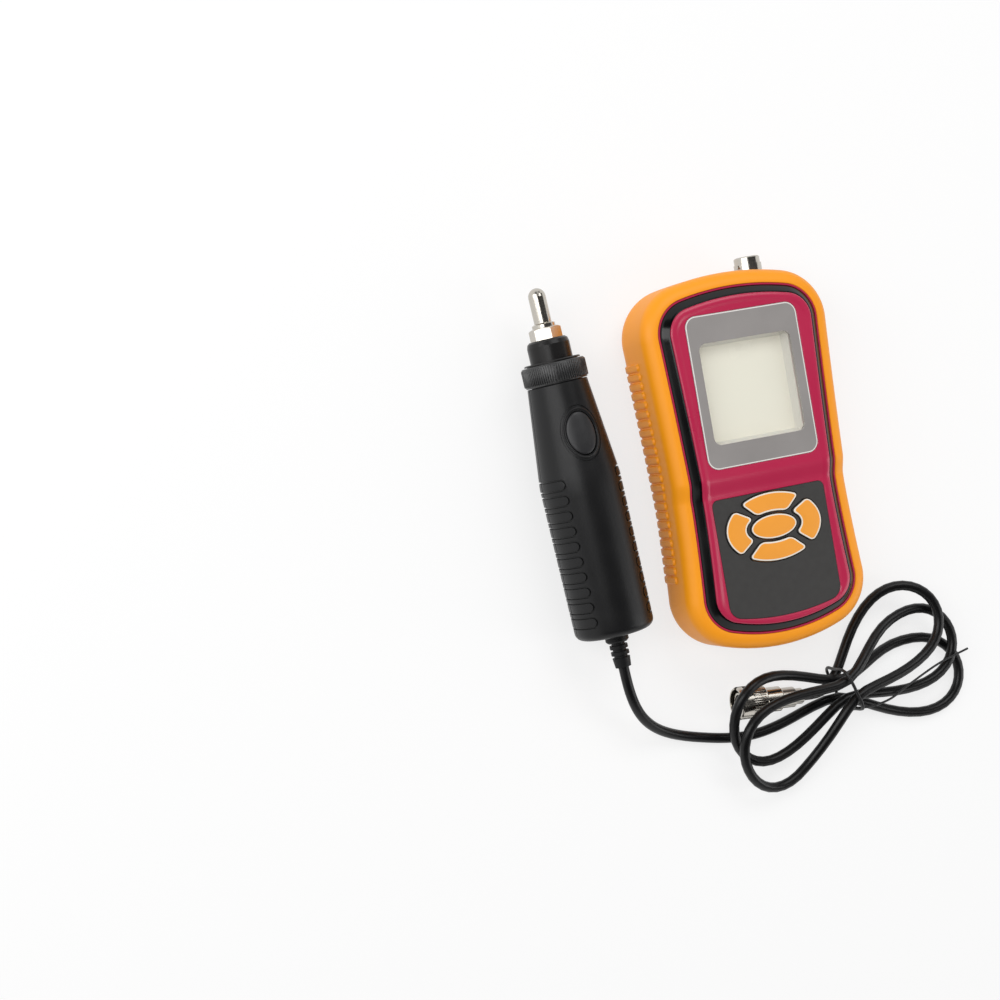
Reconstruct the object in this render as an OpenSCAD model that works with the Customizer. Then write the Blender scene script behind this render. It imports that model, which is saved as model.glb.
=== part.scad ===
// Handheld vibration meter: a boxy meter in a ribbed rubber boot, a wired pickup
// probe lying beside it, and its cord in a tied hank with a bayonet plug at the end.
// X runs across the meter, Y along it towards the socket, Z up out of the display.
// The rubber back lies on z = 0, with the origin at the middle of that face.

/* [Scale] */
// Unit that small fixed sizes are counted in
unit = 1; // [0.99:0.005:1.01]

/* [Meter outline] */
// Length over the boot
meter_len = 162; // [160:0.5:164]
// Half width at the waist
waist_half = 41.1; // [40.8:0.1:41.4]
// Half width at the upper corners
upper_half = 44; // [43.6:0.1:44.4]
// Half width at the lower corners
lower_half = 42.8; // [42.4:0.1:43.2]
// Place of the waist along the meter
waist_y = -16; // [-18:0.5:-14]
// Radius of the top end
top_radius = 126; // [122:1:130]
// Radius of the bottom end
bottom_radius = 88; // [86:1:92]
// Corner radius seen from the front
corner_radius = 22; // [21:0.5:23]

/* [Boot] */
// Height of the boot's lip at the display
lip_z = 33.4; // [33.2:0.1:33.6]
// Rubber thickness at the sides
boot_wall = 2.6; // [2.4:0.1:2.8]
// Rubber thickness of the back
boot_back = 2.5; // [2.3:0.1:2.5]
// Gap between boot and case
boot_gap = 0.2; // [0.1:0.05:0.3]
// Inset of the lip's inner edge
lip_inset = 6.27; // [6.2:0.05:6.3]
// Drop of the whole front at the keypad
front_step = 2.3; // [2.1:0.1:2.5]
// Distance between grip ribs
rib_pitch = 4; // [3.9:0.05:4.1]
// Radius of a grip rib
rib_radius = 1; // [0.9:0.1:1.1]

/* [Case] */
// Wall of the case halves
case_wall = 2; // [1.8:0.1:2.2]
// Height of the parting line
parting_z = 18.5; // [18.4:0.1:18.6]
// Height of the lens face
lens_z = 36.5; // [36.4:0.1:36.6]
// Thickness of the lens
lens_thick = 1.3; // [1.2:0.1:1.4]
// Width of the lens
lens_w = 52.5; // [52:0.5:53]
// Distance from the meter's lower end to the lens
lens_foot = 79.8; // [79.5:0.1:80.1]
// Distance from the meter's upper end to the lens
lens_head = 17; // [16.5:0.5:17.5]
// Corner radius of the lens
lens_radius = 5; // [4:0.5:6]
// Clearance round pieces that drop into a seat
seat_gap = 0.1; // [0.05:0.05:0.15]
// Clearance round pieces that move in a window
move_gap = 0.35; // [0.3:0.05:0.4]

/* [Display] */
// Half width of the window in the lens print
window_half = 21.6; // [21:0.1:22]
// Printed margin of the lens under the window
window_low = 10.1; // [9.7:0.1:10.5]
// Printed margin of the lens over the window
window_high = 12; // [11.6:0.1:12.4]
// Height of the liquid crystal glass face
glass_z = 29.8; // [29.6:0.1:30]
// Thickness of the liquid crystal glass
glass_thick = 2.8; // [2.6:0.1:3]

/* [Keypad] */
// Distance from the meter's lower end to the middle of the keys
key_foot = 51.8; // [51.6:0.1:52]
// Half width of the key ring
key_ring_a = 22.7; // [22.5:0.1:22.9]
// Half height of the key ring
key_ring_b = 14.7; // [14.5:0.1:14.8]
// Half width of the centre key
centre_a = 10.85; // [10.7:0.05:11]
// Half height of the centre key
centre_b = 5.2; // [5.1:0.05:5.3]
// Travel of a key
key_travel = 0.5; // [0.4:0.05:0.5]
// Height that keys stand above the overlay
key_proud = 0.8; // [0.7:0.1:1]

/* [Board and battery] */
// Underside of the main board
board_z = 21; // [20.9:0.1:21.1]
// Thickness of the main board
board_thick = 1.6; // [1.5:0.1:1.7]
// Diameter of a battery cell
cell_dia = 10.5; // [10.4:0.1:10.5]
// Length of a battery cell
cell_len = 44.5; // [44:0.25:44.5]
// Clearance between a cell and the next, or the bay
cell_gap = 0.1; // [0.05:0.05:0.15]
// Diameter of the door's hinge pins
door_pin = 1.6; // [1.5:0.1:1.7]
// Radial clearance of the hinge pins
pin_gap = 0.05; // [0.04:0.01:0.08]

/* [Socket] */
// Place of the socket across the meter
socket_x = 16.5; // [16:0.25:17]
// Outer diameter of the socket barrel
barrel_dia = 12; // [11.8:0.1:12.2]
// Length of the barrel that stands out of the meter's upper end
barrel_out = 5.5; // [5:0.25:6]
// Bore of the barrel
barrel_bore = 9.5; // [9.3:0.1:9.6]

/* [Probe] */
// Length of the probe from tail to tip
probe_len = 148.8; // [148:0.4:150]
// Radius of the handle where it is thickest
grip_r = 17.3; // [17.1:0.1:17.5]
// Radius of the handle at its tail
tail_r = 17; // [16.8:0.1:17.1]
// Radius of the handle at its nose
nose_r = 12.8; // [12.7:0.1:12.9]
// Wall of the handle
grip_wall = 2.2; // [2:0.1:2.4]
// Across flats of the tip nut
nut_flats = 12; // [11.8:0.1:12.2]
// Diameter of the pickup tip
tip_dia = 7.4; // [7.2:0.1:7.6]
// Travel of the probe button
press_travel = 0.8; // [0.6:0.1:0.8]
// Running clearance of the knurled ring
ring_gap = 0.05; // [0.04:0.01:0.08]
// Distance between finger grooves
groove_pitch = 6.5; // [6.4:0.05:6.6]
// Width of a finger groove
groove_w = 4.3; // [4:0.1:4.6]

/* [Cord] */
// Diameter of the cord
cord_dia = 4.5; // [4.3:0.1:4.6]
// Height from one layer of the hank to the next
cord_layer = 5.2; // [5.15:0.05:5.3]
// Diameter of the wire tie
tie_dia = 1.4; // [1.3:0.1:1.5]
// Length of the plug
plug_len = 32; // [31.6:0.2:32.2]
// Radius of the plug sleeve
sleeve_r = 7.25; // [7.15:0.05:7.3]

/* [Hidden] */
// How far a cutting shape runs past the face it opens
past = 0.6 * unit;
$fn = 48;

// Upper and lower end of the meter
head_y = meter_len / 2;
foot_y = -meter_len / 2;
// Centres of the end arcs and of the corner arcs, from their tangent circles
top_cy = head_y - top_radius;
bottom_cy = foot_y + bottom_radius;
upper_cx = upper_half - corner_radius;
lower_cx = lower_half - corner_radius;
upper_cy = top_cy + sqrt(pow(top_radius - corner_radius, 2) - pow(upper_cx, 2));
lower_cy = bottom_cy - sqrt(pow(bottom_radius - corner_radius, 2) - pow(lower_cx, 2));
top_angle = atan2(upper_cx, upper_cy - top_cy);
bottom_angle = atan2(lower_cx, bottom_cy - lower_cy);
// Upper edge of the keypad sheet, and the stretch over which the front steps down
over_top = foot_y + key_foot + 15.3 * unit;
step_to = over_top + 0.4 * unit;
step_from = step_to + 9 * unit;
key_y = foot_y + key_foot;
lens_y0 = foot_y + lens_foot;
lens_y1 = head_y - lens_head;
window_y0 = lens_y0 + window_low;
window_y1 = lens_y1 - window_high;
barrel_y = head_y + barrel_out;
// Stations along the side, as shares of the stretch above the step, of the step and below it
above_shares = [0.795, 0.53, 0.27, 0.055];
step_shares = [0, 1 / 3, 2 / 3, 1];
below_shares = [0.2, 0.49, 0.77];
side_stations = concat([for (k = above_shares) step_from + k * (upper_cy - step_from)],
    [for (k = step_shares) step_from + k * (step_to - step_from)],
    [for (k = below_shares) step_to + k * (lower_cy - step_to)]);

function side_half(y) = y >= waist_y
    ? waist_half + (upper_half - waist_half) * pow((y - waist_y) / (upper_cy - waist_y), 1.3)
    : waist_half + (lower_half - waist_half) * pow((waist_y - y) / (waist_y - lower_cy), 1.5);
function ease(x) = x <= 0 ? 0 : x >= 1 ? 1 : x * x * (3 - 2 * x);
function step_share(y) = ease((step_from - y) / (step_from - step_to));

// Right half of the outline, from the top middle round to the bottom middle
function half_line(d) = concat(
    [for (i = [0:1]) let (a = i * top_angle / 2)
        [(top_radius - d) * sin(a), top_cy + (top_radius - d) * cos(a)]],
    [for (i = [0:5]) let (a = top_angle + (90 - top_angle) * i / 5)
        [upper_cx + (corner_radius - d) * sin(a), upper_cy + (corner_radius - d) * cos(a)]],
    [for (s = side_stations) [side_half(s) - d, s]],
    [for (i = [0:5]) let (a = 90 + (90 - bottom_angle) * i / 5)
        [lower_cx + (corner_radius - d) * sin(a), lower_cy + (corner_radius - d) * cos(a)]],
    [for (i = [1:-1:0]) let (a = i * bottom_angle / 2)
        [(bottom_radius - d) * sin(a), bottom_cy - (bottom_radius - d) * cos(a)]]);
function whole_line(d) = let (h = half_line(d), n = len(h))
    concat(h, [for (i = [n - 2:-1:1]) [-h[i].x, h[i].y]]);
half_n = 2 + 6 + len(side_stations) + 6 + 2;
line_n = 2 * half_n - 2;
function mirror_i(i) = (i == 0 || i == half_n - 1) ? i : line_n - i;

// One level of a stacked body: [inset, height, 1 if it follows the front step]
function level_points(v) = [for (p = whole_line(v[0])) [p.x, p.y, v[1] - v[2] * front_step * step_share(p.y)]];
function between(a, b) = [for (i = [0:line_n - 1]) let (j = (i + 1) % line_n)
    each [[a + i, a + j, b + j], [a + i, b + j, b + i]]];
function lid(a, up) = [for (i = [0:half_n - 2]) let (m = mirror_i(i), k = mirror_i(i + 1),
    f = i == 0 ? [a + i, a + i + 1, a + k] : i == half_n - 2 ? [a + i, a + i + 1, a + m]
    : [a + i, a + i + 1, a + k, a + m]) up ? f : [for (q = [len(f) - 1:-1:0]) f[q]]];
module stack(levels, ring = false) {
    n = len(levels);
    pts = [for (v = levels) each level_points(v)];
    walls = [for (k = [0:n - 2]) each between(k * line_n, (k + 1) * line_n)];
    ends = ring ? between((n - 1) * line_n, 0)
        : concat(lid(0, false), lid((n - 1) * line_n, true));
    polyhedron(points = pts, faces = concat(walls, ends), convexity = 6);
}

// Rounded rectangle as points
function soft_box(x0, y0, x1, y1, r, n = 6) = [for (c = [[x1 - r, y1 - r, 0], [x0 + r, y1 - r, 90],
    [x0 + r, y0 + r, 180], [x1 - r, y0 + r, 270]]) for (i = [0:n])
    [c[0] + r * cos(c[2] + 90 * i / n), c[1] + r * sin(c[2] + 90 * i / n)]];
function oval(a, b, n = 40) = [for (i = [0:n - 1]) [a * cos(360 * i / n), b * sin(360 * i / n)]];
module slab(pts, z0, z1) {
    translate([0, 0, z0]) linear_extrude(z1 - z0) polygon(pts);
}
module block(p0, p1) {
    translate(p0) cube(p1 - p0);
}
module along_y(x, z, y0, y1, r) {
    translate([x, y0, z]) rotate([-90, 0, 0]) cylinder(h = y1 - y0, r = r);
}

// Boot
boot_side_z = 12 * unit;
boot_turn_z = 27.4 * unit;
boot_back_inset = 9 * unit;
lip_under_z = lip_z - boot_back;
case_in = boot_wall + boot_gap;
boot_window = [-25 * unit, foot_y + 16 * unit, 25 * unit, foot_y + 74 * unit];
socket_hole_r = 7.6 * unit;
rib_top = head_y - 34 * unit;
rib_low = foot_y + 36 * unit;
rib_count = floor((rib_top - rib_low) / rib_pitch + 0.01) + 1;
module boot_outside() {
    stack(concat(
        [for (t = [0, 30, 60, 90]) [boot_back_inset * (1 - sin(t)), boot_side_z * (1 - cos(t)), 0]],
        [for (t = [0, 30, 60, 90]) [(lip_inset - 0.3 * unit) * (1 - cos(t)),
            boot_turn_z + (lip_z - boot_turn_z) * sin(t), 1]],
        [[lip_inset + 3 * unit, lip_z, 1]]));
}
module boot_inside() {
    stack(concat(
        [for (t = [0, 30, 60, 90]) [boot_wall + (boot_back_inset - boot_wall + 0.4 * unit) * (1 - sin(t)),
            boot_side_z - (boot_side_z - boot_back) * cos(t), 0]],
        [for (t = [0, 45, 90]) [boot_wall + (lip_inset - boot_wall) * (1 - cos(t)),
            boot_turn_z + (lip_under_z - boot_turn_z) * sin(t), 1]],
        [[lip_inset, lip_z + past, 1]]));
}
module grip_rib(side, y) {
    x = side_half(y) - 0.55 * unit;
    hull() {
        translate([side * (x - 1.9 * unit), y, 4.4 * unit]) sphere(r = rib_radius, $fn = 8);
        translate([side * x, y, boot_side_z - unit]) sphere(r = rib_radius, $fn = 8);
        translate([side * x, y, 17 * unit]) sphere(r = rib_radius, $fn = 8);
    }
}
module boot() {
    color([1, 0.58, 0.1]) difference() {
        union() {
            boot_outside();
            for (side = [-1, 1]) for (i = [0:rib_count - 1]) grip_rib(side, rib_top - i * rib_pitch);
        }
        boot_inside();
        slab(soft_box(boot_window[0], boot_window[1], boot_window[2], boot_window[3], 4 * unit),
            -past, boot_back + past);
        along_y(socket_x, parting_z, head_y - 11 * unit, head_y + 9 * unit, socket_hole_r);
    }
}

// Case halves
case_back_z = boot_back + boot_gap;
case_floor_z = case_back_z + case_wall;
inner_in = case_in + case_wall;
tongue_in = inner_in - 0.9 * unit;
tongue_z = parting_z - 1.2 * unit;
screw_head = head_y - 21 * unit;
screw_foot = foot_y + 31 * unit;
screw_places = [[30 * unit, screw_head], [-30 * unit, screw_head], [31 * unit, screw_foot],
    [-31 * unit, screw_foot]];
boss_r = 4 * unit;
screw_r = 1.45 * unit;
head_r = 2.75 * unit;
head_z = 3.4 * unit;
head_seat_z = 6 * unit;
pad_r = 9 * unit;
seat_y = head_y - 4.6 * unit;
pad_y1 = seat_y - 0.3 * unit;
pad_y0 = pad_y1 - 3.1 * unit;
socket_rear_r = 5.5 * unit;
cell_pitch = cell_dia + cell_gap;
cell_z = case_floor_z + 0.25 * unit + cell_dia / 2;
bay_half = 2 * cell_pitch + 0.7 * unit;
door_half = bay_half - 0.3 * unit;
bay_y0 = foot_y + 20 * unit;
bay_y1 = bay_y0 + cell_len + 4.5 * unit;
bay_roof = cell_z + cell_dia / 2 + 0.15 * unit;
bay_wall = 2 * unit;
door_top_y = bay_y1 + 2.2 * unit;
pivot_y = bay_y0;
pivot_z = 4.1 * unit;
knuckle_r = 1.4 * unit;
module screw_columns(z0, z1, r) {
    for (p = screw_places) translate([p[0], p[1], z0]) cylinder(h = z1 - z0, r = r);
}
module rear_shell() {
    color([0.78, 0.18, 0.33]) difference() {
        union() {
            difference() {
                stack(concat([for (t = [0, 30, 60, 90]) [case_in + (6.6 * unit) * (1 - sin(t)),
                    boot_side_z - (boot_side_z - case_back_z) * cos(t), 0]],
                    [[case_in, parting_z, 0]]));
                stack(concat([for (t = [0, 30, 60, 90]) [inner_in + (6.6 * unit) * (1 - sin(t)),
                    boot_side_z - (boot_side_z - case_floor_z) * cos(t), 0]],
                    [[inner_in, tongue_z - seat_gap, 0], [tongue_in - seat_gap, tongue_z - seat_gap, 0],
                    [tongue_in - seat_gap, parting_z + past, 0]]));
            }
            screw_columns(case_floor_z - past, board_z, boss_r);
            block([-bay_half - bay_wall, bay_y0 - 1.2 * unit, case_floor_z - past],
                [bay_half + bay_wall, bay_y1 + 1.5 * unit, bay_roof + 1.5 * unit]);
            // Pad behind the socket, relieved where the front half's tongue passes
            difference() {
                along_y(socket_x, parting_z, pad_y0, pad_y1, pad_r);
                block([socket_x - 12 * unit, pad_y0 - past, parting_z],
                    [socket_x + 12 * unit, pad_y1 + past, parting_z + 12 * unit]);
                stack([[tongue_in - 2 * unit, tongue_z - 2 * seat_gap, 0], [tongue_in - 2 * unit, parting_z + past, 0],
                    [inner_in + 1.5 * seat_gap, parting_z + past, 0],
                    [inner_in + 1.5 * seat_gap, tongue_z - 2 * seat_gap, 0]], true);
            }
        }
        screw_columns(case_back_z - past, board_z + past, screw_r + 0.2 * unit);
        screw_columns(case_back_z - 3 * unit, head_seat_z, head_r + 0.35 * unit);
        block([-bay_half, bay_y0, case_back_z - past], [bay_half, bay_y1, bay_roof]);
        block([-bay_half, pivot_y - 1.7 * unit, case_back_z - past],
            [bay_half, door_top_y + 0.3 * unit, case_floor_z + 0.1 * unit]);
        block([-bay_half, pivot_y - 1.7 * unit, case_back_z - past],
            [bay_half, pivot_y + 1.7 * unit, pivot_z + 1.7 * unit]);
        translate([-bay_half - 1.5 * unit, pivot_y, pivot_z]) rotate([0, 90, 0])
            cylinder(h = 2 * bay_half + 3 * unit, r = door_pin / 2 + pin_gap, $fn = 32);
        along_y(socket_x, parting_z, seat_y, head_y + 9 * unit, socket_hole_r - 0.3 * unit);
        along_y(socket_x, parting_z, pad_y0 - 3 * unit, head_y + 9 * unit, socket_rear_r + seat_gap);
    }
}

trim_in = 7.19 * unit;
trim_out = 10.69 * unit;
groove_z = 31.4 * unit;
web_z = 34 * unit;
web_low = 29 * unit;
key_face_z = lens_z - front_step;
over_top_z = key_face_z - 0.1 * unit;
over_seat_z = key_face_z - 1.1 * unit;
frame_half = window_half + 2.9 * unit;
frame_y0 = window_y0 - 2.6 * unit;
frame_y1 = window_y1 + 2.6 * unit;
// Corners of the wedges that part the ring of keys, as shares of the ring's half sizes
wedge_top_shares = [[0, -0.095], [0.84, 1.115], [-0.84, 1.115]];
wedge_right_shares = [[0.107, 0.088], [1.145, 0.96], [1.145, -1.115]];
wedge_bottom_shares = [[0, 0.065], [0.97, -1.26], [-0.97, -1.26]];
// Margin between the centre key and the ring
key_moat = [2.15 * unit, 1.1 * unit];
module key_shape(k, grow = 0) {
    offset(r = 0.9 * unit + grow) offset(delta = -0.9 * unit) difference() {
        if (k == 0) translate([0, key_y]) polygon(oval(centre_a, centre_b));
        if (k > 0) translate([0, key_y]) intersection() {
            polygon(oval(key_ring_a, key_ring_b, 56));
            mirror([k == 4 ? 1 : 0, 0]) scale([key_ring_a, key_ring_b]) polygon(k == 1 ? wedge_top_shares
                : k == 3 ? wedge_bottom_shares : wedge_right_shares);
        }
        if (k > 0) translate([0, key_y]) polygon(oval(centre_a + key_moat[0], centre_b + key_moat[1]));
    }
}
over_r = 106 * unit;
over_cy = foot_y + 13.6 * unit + over_r;
over_corner = 6 * unit;
over_half = 26.7 * unit;
over_cx = over_half - over_corner;
over_low_y = over_cy - sqrt(pow(over_r - over_corner, 2) - pow(over_cx, 2));
over_angle = asin(over_cx / (over_r - over_corner));
// Keypad sheet: straight top and sides, and a bottom edge that bows out
function over_right(d) = concat(
    [for (i = [0:5]) let (a = 90 * i / 5) [over_half - 2.75 * unit + (2.75 * unit - d) * sin(a),
        over_top - 2.75 * unit + (2.75 * unit - d) * cos(a)]],
    [for (i = [0:5]) let (a = 90 + (90 - over_angle) * i / 5) [over_cx + (over_corner - d) * sin(a),
        over_low_y + (over_corner - d) * cos(a)]],
    [for (i = [2:-1:1]) let (a = over_angle * i / 3) [(over_r - d) * sin(a), over_cy - (over_r - d) * cos(a)]]);
function over_line(d) = let (h = over_right(d), n = len(h))
    concat(h, [[0, over_cy - over_r + d]], [for (i = [n - 1:-1:0]) [-h[i].x, h[i].y]]);
module front_shell() {
    color([0.78, 0.18, 0.33]) difference() {
        union() {
            difference() {
                stack(concat([[tongue_in, tongue_z, 0], [tongue_in, parting_z, 0], [case_in, parting_z, 0]],
                    [for (t = [0, 45, 90]) [case_in + (lip_inset + boot_gap - case_in) * (1 - cos(t)),
                        boot_turn_z + (lip_under_z - boot_gap - boot_turn_z) * sin(t), 1]],
                    [[lip_inset + boot_gap, lip_z, 1], [trim_in, lip_z, 1], [trim_in, groove_z, 1],
                    [trim_out, groove_z, 1], [trim_out, lens_z - 0.1 * unit, 1],
                    [trim_out + 0.7 * unit, lens_z + 0.3 * unit, 1],
                    [trim_out + 2.3 * unit, lens_z + 0.4 * unit, 1], [trim_out + 3.6 * unit, lens_z, 1]]));
                stack([[inner_in, tongue_z - past, 0], [inner_in, 26 * unit, 1], [inner_in + 2.4 * unit, web_low, 1],
                    [trim_out + 2 * unit, web_low, 1], [trim_out + 2 * unit, web_z, 1]]);
            }
            for (p = screw_places) translate([p[0], p[1], board_z + board_thick])
                cylinder(h = groove_z - (p[1] > 0 ? 0 : front_step) - 0.4 * unit - board_z - board_thick,
                r = boss_r - 0.5 * unit);
            intersection() {
                along_y(socket_x, parting_z, pad_y0, pad_y1, pad_r);
                block([socket_x - 12 * unit, pad_y0 - past, parting_z],
                    [socket_x + 12 * unit, pad_y1 + past, parting_z + 12 * unit]);
            }
        }
        screw_columns(board_z, groove_z - front_step - 1.5 * unit, screw_r + 0.05 * unit);
        along_y(socket_x, parting_z, seat_y, head_y + 9 * unit, socket_hole_r - 0.3 * unit);
        along_y(socket_x, parting_z, pad_y0 - 3 * unit, head_y + 9 * unit, socket_rear_r + seat_gap);
        slab(soft_box(-lens_w / 2 - seat_gap, lens_y0 - seat_gap, lens_w / 2 + seat_gap,
            lens_y1 + seat_gap, lens_radius + seat_gap), lens_z - lens_thick, lens_z + 2 * unit);
        slab(soft_box(-window_half - unit, window_y0 - unit, window_half + unit,
            window_y1 + unit, 3 * unit), web_z - past, lens_z);
        slab(over_line(-seat_gap), over_seat_z, lens_z + 2 * unit);
        for (k = [0:4]) translate([0, 0, over_seat_z - 3 * unit]) linear_extrude(6 * unit)
            key_shape(k, move_gap);
    }
}

// Black gloss ring between boot and bezel
module trim_ring() {
    color([0.05, 0.05, 0.06]) stack([[trim_in + seat_gap, groove_z, 1], [trim_in + seat_gap, lip_z + 0.1 * unit, 1],
        [trim_out - seat_gap, lens_z - 0.2 * unit, 1], [trim_out - seat_gap, groove_z, 1]], true);
}

// Display window and what lies under it
module display_lens() {
    color([0.66, 0.64, 0.62]) slab(soft_box(-lens_w / 2, lens_y0, lens_w / 2, lens_y1, lens_radius),
        lens_z - lens_thick, lens_z);
}
glass_half = window_half - 0.6 * unit;
glass_y0 = window_y0 + 0.5 * unit;
glass_y1 = window_y1 - 0.5 * unit;
board_top = board_z + board_thick;
strip_y = [glass_y0 + 2 * unit, glass_y1 - 2 * unit];
module lcd_panel() {
    color([0.9, 0.9, 0.86]) block([-glass_half, glass_y0, glass_z - glass_thick], [glass_half, glass_y1, glass_z]);
}
module lcd_frame() {
    color([0.93, 0.92, 0.88]) difference() {
        slab(soft_box(-frame_half, frame_y0, frame_half, frame_y1, 2.5 * unit), board_top, web_z - seat_gap);
        block([-glass_half - seat_gap, glass_y0 - seat_gap, board_top - past],
            [glass_half + seat_gap, glass_y1 + seat_gap, glass_z]);
        // Opening that narrows down to the glass
        polyhedron(points = concat(
            [for (p = [[-1, 0], [1, 0], [1, 1], [-1, 1]]) [p.x * (glass_half - unit), p.y == 0 ? glass_y0 + unit : glass_y1 - unit,
                glass_z - past]],
            [for (p = [[-1, 0], [1, 0], [1, 1], [-1, 1]]) [p.x * (window_half + 0.6 * unit),
                p.y == 0 ? window_y0 - 0.6 * unit : window_y1 + 0.6 * unit, web_z + past]]),
            faces = [[0, 1, 2, 3], [7, 6, 5, 4], [0, 4, 5, 1], [1, 5, 6, 2], [2, 6, 7, 3], [3, 7, 4, 0]]);
    }
}
module contact_strips() {
    color([0.35, 0.35, 0.37]) for (y = strip_y) block([2 * unit - glass_half, y - 1.2 * unit, board_top],
        [glass_half - 2 * unit, y + 1.2 * unit, glass_z - glass_thick]);
}

// Keypad
flange_top = web_z - front_step - 0.3 * unit;
flange_low = flange_top - 0.8 * unit;
dome_h = 0.6 * unit;
stem_low = board_top + dome_h + key_travel + 0.05 * unit;
stem_r = 2 * unit;
key_place_shares = [[0, 0], [0, 0.687], [0.7885, 0.0136], [0, -0.7143], [-0.7885, 0.0136]];
key_centres = [for (c = key_place_shares) [c[0] * key_ring_a, key_y + c[1] * key_ring_b]];
module keypad_overlay() {
    color([0.27, 0.27, 0.26]) difference() {
        slab(over_line(0), over_seat_z, over_top_z);
        for (k = [0:4]) translate([0, 0, over_seat_z - past]) linear_extrude(1.1 * unit + 2 * past)
            key_shape(k, move_gap);
    }
}
module one_key(k) {
    color([0.96, 0.63, 0.24]) union() {
        translate([0, 0, flange_low]) linear_extrude(flange_top - flange_low) key_shape(k, 0.45 * unit);
        translate([0, 0, flange_top]) linear_extrude(over_top_z + key_proud - 0.4 * unit - flange_top) key_shape(k);
        translate([0, 0, over_top_z + key_proud - 0.4 * unit]) linear_extrude(0.4 * unit)
            key_shape(k, -0.4 * unit);
        translate([key_centres[k][0], key_centres[k][1], stem_low])
            cylinder(h = flange_low - stem_low + 0.3 * unit, r = stem_r, $fn = 24);
    }
}
module key_centre() {
    one_key(0);
}
module key_top() {
    one_key(1);
}
module key_right() {
    one_key(2);
}
module key_bottom() {
    one_key(3);
}
module key_left() {
    one_key(4);
}
module dome_switches() {
    color([0.8, 0.8, 0.82]) for (c = key_centres) translate([c[0], c[1], board_top])
        cylinder(h = dome_h, r1 = 3 * unit, r2 = 2.2 * unit, $fn = 24);
}

// Main board, its parts and the screws that hold it between the case halves
board_in = 6.6 * unit;
module main_board() {
    color([0.1, 0.4, 0.2]) difference() {
        translate([0, 0, board_z]) linear_extrude(board_thick) polygon(whole_line(board_in));
        screw_columns(board_z - past, board_top + past, screw_r + 0.35 * unit);
        block([socket_x - 10 * unit, pad_y0 - 13 * unit, board_z - past],
            [socket_x + 9.4 * unit, head_y - unit, board_top + past]);
    }
}
// Each box on the board: left, right, distances of its ends from the meter's head, and height
board_boxes = [[-22 * unit, -8 * unit, 53 * unit, 39 * unit, 1.8 * unit],
    [4 * unit, 14 * unit, 51 * unit, 41 * unit, 1.6 * unit],
    [20 * unit, 26 * unit, 69 * unit, 61 * unit, 1.4 * unit],
    [-6 * unit, 5.5 * unit, 75 * unit, 70.5 * unit, 3.5 * unit],
    [8 * unit, 25 * unit, 31 * unit, 25.5 * unit, 6 * unit]];
// Each round part: place across, distance from the head, height and radius
board_rounds = [[-30 * unit, 71 * unit, 9 * unit, 3 * unit], [-23 * unit, 71 * unit, 9 * unit, 3 * unit],
    [-17 * unit, 21 * unit, 7 * unit, 6 * unit]];
module board_parts() {
    color([0.12, 0.12, 0.13]) union() {
        for (b = board_boxes) block([b[0], head_y - b[2], board_z - b[4]], [b[1], head_y - b[3], board_z]);
        for (c = board_rounds) translate([c[0], head_y - c[1], board_z - c[2]]) cylinder(h = c[2], r = c[3]);
    }
}
module case_screws() {
    color([0.7, 0.7, 0.72]) for (p = screw_places) translate([p[0], p[1], 0]) difference() {
        union() {
            translate([0, 0, head_z]) cylinder(h = head_seat_z - head_z, r = head_r);
            translate([0, 0, head_z]) cylinder(h = 27 * unit - head_z, r = screw_r);
        }
        block([-1.8 * unit, -0.35 * unit, head_z - past], [1.8 * unit, 0.35 * unit, head_z + 1.1 * unit]);
        block([-0.35 * unit, -1.8 * unit, head_z - past], [0.35 * unit, 1.8 * unit, head_z + 1.1 * unit]);
    }
}

// Socket for the probe's plug
pin_places = [[1.9, 1.9], [1.9, -1.9], [-1.9, -1.9], [-1.9, 1.9]];
insert_r = 3.6 * unit;
// The socket's own line runs up from the seat behind its flange
module at_socket() {
    translate([socket_x, seat_y, parting_z]) rotate([-90, 0, 0]) children();
}
barrel_top = barrel_y - seat_y;
flange_r = 6.5 * unit;
flange_h = 2.8 * unit;
nose_step = 0.4 * unit;
nose_len = 3.1 * unit;
socket_tail = 11.4 * unit;
bore_floor = 1.6 * unit;
lug_at = 6 * unit;
lug_r = 0.8 * unit;
lug_h = 0.9 * unit;
nut_h = 3.2 * unit;
nut_r = 8 * unit;
pin_r = 0.5 * unit;
pin_top = 5.6 * unit;
pin_low = 15.9 * unit;
insert_low = 12.4 * unit;
insert_face = 4.1 * unit;
module sensor_socket() {
    color([0.8, 0.79, 0.76]) difference() {
        union() {
            at_socket() rotate_extrude() polygon([[0, -socket_tail], [socket_rear_r, -socket_tail],
                [socket_rear_r, 0], [flange_r, 0], [flange_r, flange_h], [barrel_dia / 2, flange_h + 0.4 * unit],
                [barrel_dia / 2, barrel_top - nose_len], [barrel_dia / 2 - nose_step, barrel_top - nose_len],
                [barrel_dia / 2 - nose_step, barrel_top - 0.5 * unit],
                [barrel_dia / 2 - nose_step - 0.5 * unit, barrel_top], [0, barrel_top]]);
            for (a = [20, 200]) at_socket() rotate([0, 0, a]) translate([barrel_dia / 2 - unit, 0, lug_at])
                rotate([0, 90, 0]) cylinder(h = lug_h + unit, r = lug_r, $fn = 24);
        }
        at_socket() translate([0, 0, bore_floor]) cylinder(h = barrel_top, r = barrel_bore / 2);
        at_socket() translate([0, 0, -socket_tail - past]) cylinder(h = socket_tail + bore_floor + 2 * past,
            r = insert_r);
    }
}
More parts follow.
